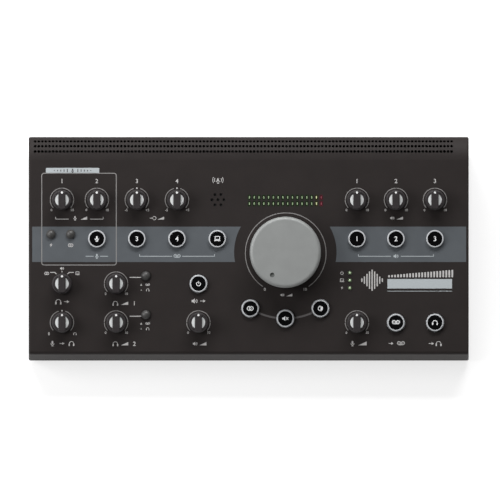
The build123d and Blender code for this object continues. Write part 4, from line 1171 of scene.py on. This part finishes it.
def choose_knob_part(knob):
    """0 cap, 1 pale insert, 2 white dot."""
    centre = place_of(knob)
    vertices = frame["nodes"][knob].data.vertices

    def choose(face):
        points = [panel_point(vertices[i].co, centre) for i in face.vertices]
        lowest = min(w for x, u, w in points)
        reach = max(math.hypot(x, u) for x, u, w in points)
        highest = max(w for x, u, w in points)
        in_face = highest <= KNOB_FACE_HEIGHT + CLOSE and lowest >= KNOB_FACE_HEIGHT - INSERT_DEPTH - CLOSE
        if in_face and reach <= INSERT_RADIUS + CLOSE:
            return 1
        dot_reach = max(math.hypot(x, u - KNOB_DOT_OFFSET) for x, u, w in points)
        if dot_reach <= KNOB_DOT_RADIUS + CLOSE and lowest > KNOB_FACE_HEIGHT:
            return 2
        return 0

    return choose


def choose_key_part(key):
    """0 ring, 1 black face."""
    centre = place_of(key)

    def choose(face):
        x, u, w = panel_point(face.center, centre)
        flat = face.normal.dot(PANEL_OUT) > FLAT
        return 1 if flat and math.hypot(x, u) < KEY_FACE_RADIUS and w > 0 else 0

    return choose


def choose_volume_part(face):
    """0 knob, 1 dimple."""
    x, u, w = panel_point(face.center)
    sunk = VOLUME_HEIGHT - DIMPLE_DEPTH < w < VOLUME_HEIGHT - CLOSE
    return 1 if sunk and math.hypot(x, u) < VOLUME_RADIUS - DIMPLE_MARGIN else 0


def choose_meter_part(face):
    """0 green, 1 yellow, 2 red."""
    x, u, w = panel_point(face.center)
    column = round((x - METER_PLACE[0]) / METER_PITCH + (METER_COLUMNS - 1) / 2)
    return max(0, column - (METER_COLUMNS - 3))


def dress_cad():
    """Gives every CAD piece its finishes: those of one finish first, then the keys, buttons and knobs."""
    for finish, nodes in FINISHED_NODES.items():
        for node in nodes:
            set_finishes(node, [finish])
    for node in frame["nodes"]:
        if node.endswith("_key") or "_key_" in node:
            set_finishes(node, ["key_ring", "key_face"], choose_key_part(node))
        elif node.endswith("_button") or "_button_" in node:
            set_finishes(node, ["button"])
        elif "_knob" in node and node != "volume_knob" and node in frame["bodies"]:
            set_finishes(node, ["knob", "insert", "pointer"], choose_knob_part(node))
    set_finishes("volume_knob", ["volume", "dimple"], choose_volume_part)
    set_finishes("meter_lights", ["dark_green", "dark_yellow", "dark_red"], choose_meter_part)


# ---------------- floor, light and camera

def make_floor():
    """A floor that the camera and reflections see as white, and that takes the object's shadow."""
    data = bpy.data.meshes.new("floor")
    reach = FLOOR_REACH * MM
    level = -FLOOR_DROP * MM
    corners = [(-reach, -reach, level), (reach, -reach, level), (reach, reach, level), (-reach, reach, level)]
    data.from_pydata(corners, [], [(0, 1, 2, 3)])
    floor = bpy.data.objects.new("floor", data)
    bpy.context.scene.collection.objects.link(floor)
    material = bpy.data.materials.new("floor_white")
    material.use_nodes = True
    tree = material.node_tree
    shader = tree.nodes["Principled BSDF"]
    shader.inputs["Base Color"].default_value = (FLOOR_GREY, FLOOR_GREY, FLOOR_GREY, 1)
    shader.inputs["Roughness"].default_value = 0.9
    shader.inputs["Specular IOR Level"].default_value = 0.0
    shader.inputs["Emission Color"].default_value = (1, 1, 1, 1)
    rays = tree.nodes.new("ShaderNodeLightPath").outputs
    seen = combine(tree, "MAXIMUM", rays["Is Camera Ray"], rays["Is Glossy Ray"])
    seen = combine(tree, "MAXIMUM", seen, rays["Is Transmission Ray"])
    lift = combine(tree, "MULTIPLY", seen, FLOOR_LIFT)
    tree.links.new(lift, shader.inputs["Emission Strength"])
    data.materials.append(material)


def make_world():
    """A soft white sky, brighter near the horizon and on the left, over plain white under the horizon."""
    world = bpy.data.worlds.new("studio")
    bpy.context.scene.world = world
    world.use_nodes = True
    tree = world.node_tree
    background = tree.nodes["Background"]
    background.inputs["Color"].default_value = (1, 1, 1, 1)
    coordinates = tree.nodes.new("ShaderNodeTexCoord")
    split = tree.nodes.new("ShaderNodeSeparateXYZ")
    tree.links.new(coordinates.outputs["Generated"], split.inputs[0])
    fade = map_range(tree, split.outputs["Z"], *SKY_STRENGTHS, *SKY_HEIGHTS)
    lean = map_range(tree, split.outputs["X"], *SKY_SIDES, -1.0, 1.0)
    sky = combine(tree, "MULTIPLY", fade, lean)
    below = combine(tree, "LESS_THAN", split.outputs["Z"], 0.0)
    tree.links.new(combine(tree, "MAXIMUM", sky, below), background.inputs["Strength"])


def make_softbox(name, target, azimuth, elevation, distance, width, height, strength):
    """An area lamp that looks at target. Azimuth 0 is the front, 90 the right; strength is watts."""
    data = bpy.data.lights.new(name, "AREA")
    data.shape = "RECTANGLE"
    data.size = width
    data.size_y = height
    data.energy = strength
    turn = math.radians(azimuth)
    rise = math.radians(elevation)
    back = Vector((math.sin(turn) * math.cos(rise), -math.cos(turn) * math.cos(rise), math.sin(rise)))
    light = bpy.data.objects.new(name, data)
    light.location = target + back * distance
    light.rotation_mode = "QUATERNION"
    light.rotation_quaternion = (-back).to_track_quat("-Z", "Y")
    bpy.context.scene.collection.objects.link(light)


def make_lights():
    """A broad lamp high on the left, and a long one behind that draws the bends of the case."""
    middle = on_panel(*LAMP_TARGET)
    make_softbox("key_light", middle, azimuth=-95.0, elevation=40.0, distance=1.6,
                 width=0.9, height=0.9, strength=14.0)
    make_softbox("rear_strip", middle, azimuth=180.0, elevation=45.0, distance=1.5,
                 width=1.6, height=0.4, strength=26.0)


def make_camera():
    """Looks square onto the panel, with the photograph's frame."""
    data = bpy.data.cameras.new("camera")
    data.type = "ORTHO"
    data.ortho_scale = FRAME_PIXELS * PIXEL * MM
    data.clip_start = 0.01
    data.clip_end = 10.0
    camera = bpy.data.objects.new("camera", data)
    stand = PANEL.copy()
    stand.translation = on_panel(*VIEW_CENTRE, CAMERA_DISTANCE)
    camera.matrix_world = stand
    bpy.context.scene.collection.objects.link(camera)
    bpy.context.scene.camera = camera


make_camera()
dress_cad()
print_band()
print_box()
print_dials()
print_key_link()
print_numbers()
print_symbols()
print_group_labels()
print_cue_selector_marks()
print_status_symbols()
print_badge()
print_rear_marks()
print_rocker_marks()
print_legends()
light_meter()
paint_meter_halos()
make_floor()
make_world()
make_lights()
bpy.context.scene.view_settings.view_transform = "Standard"
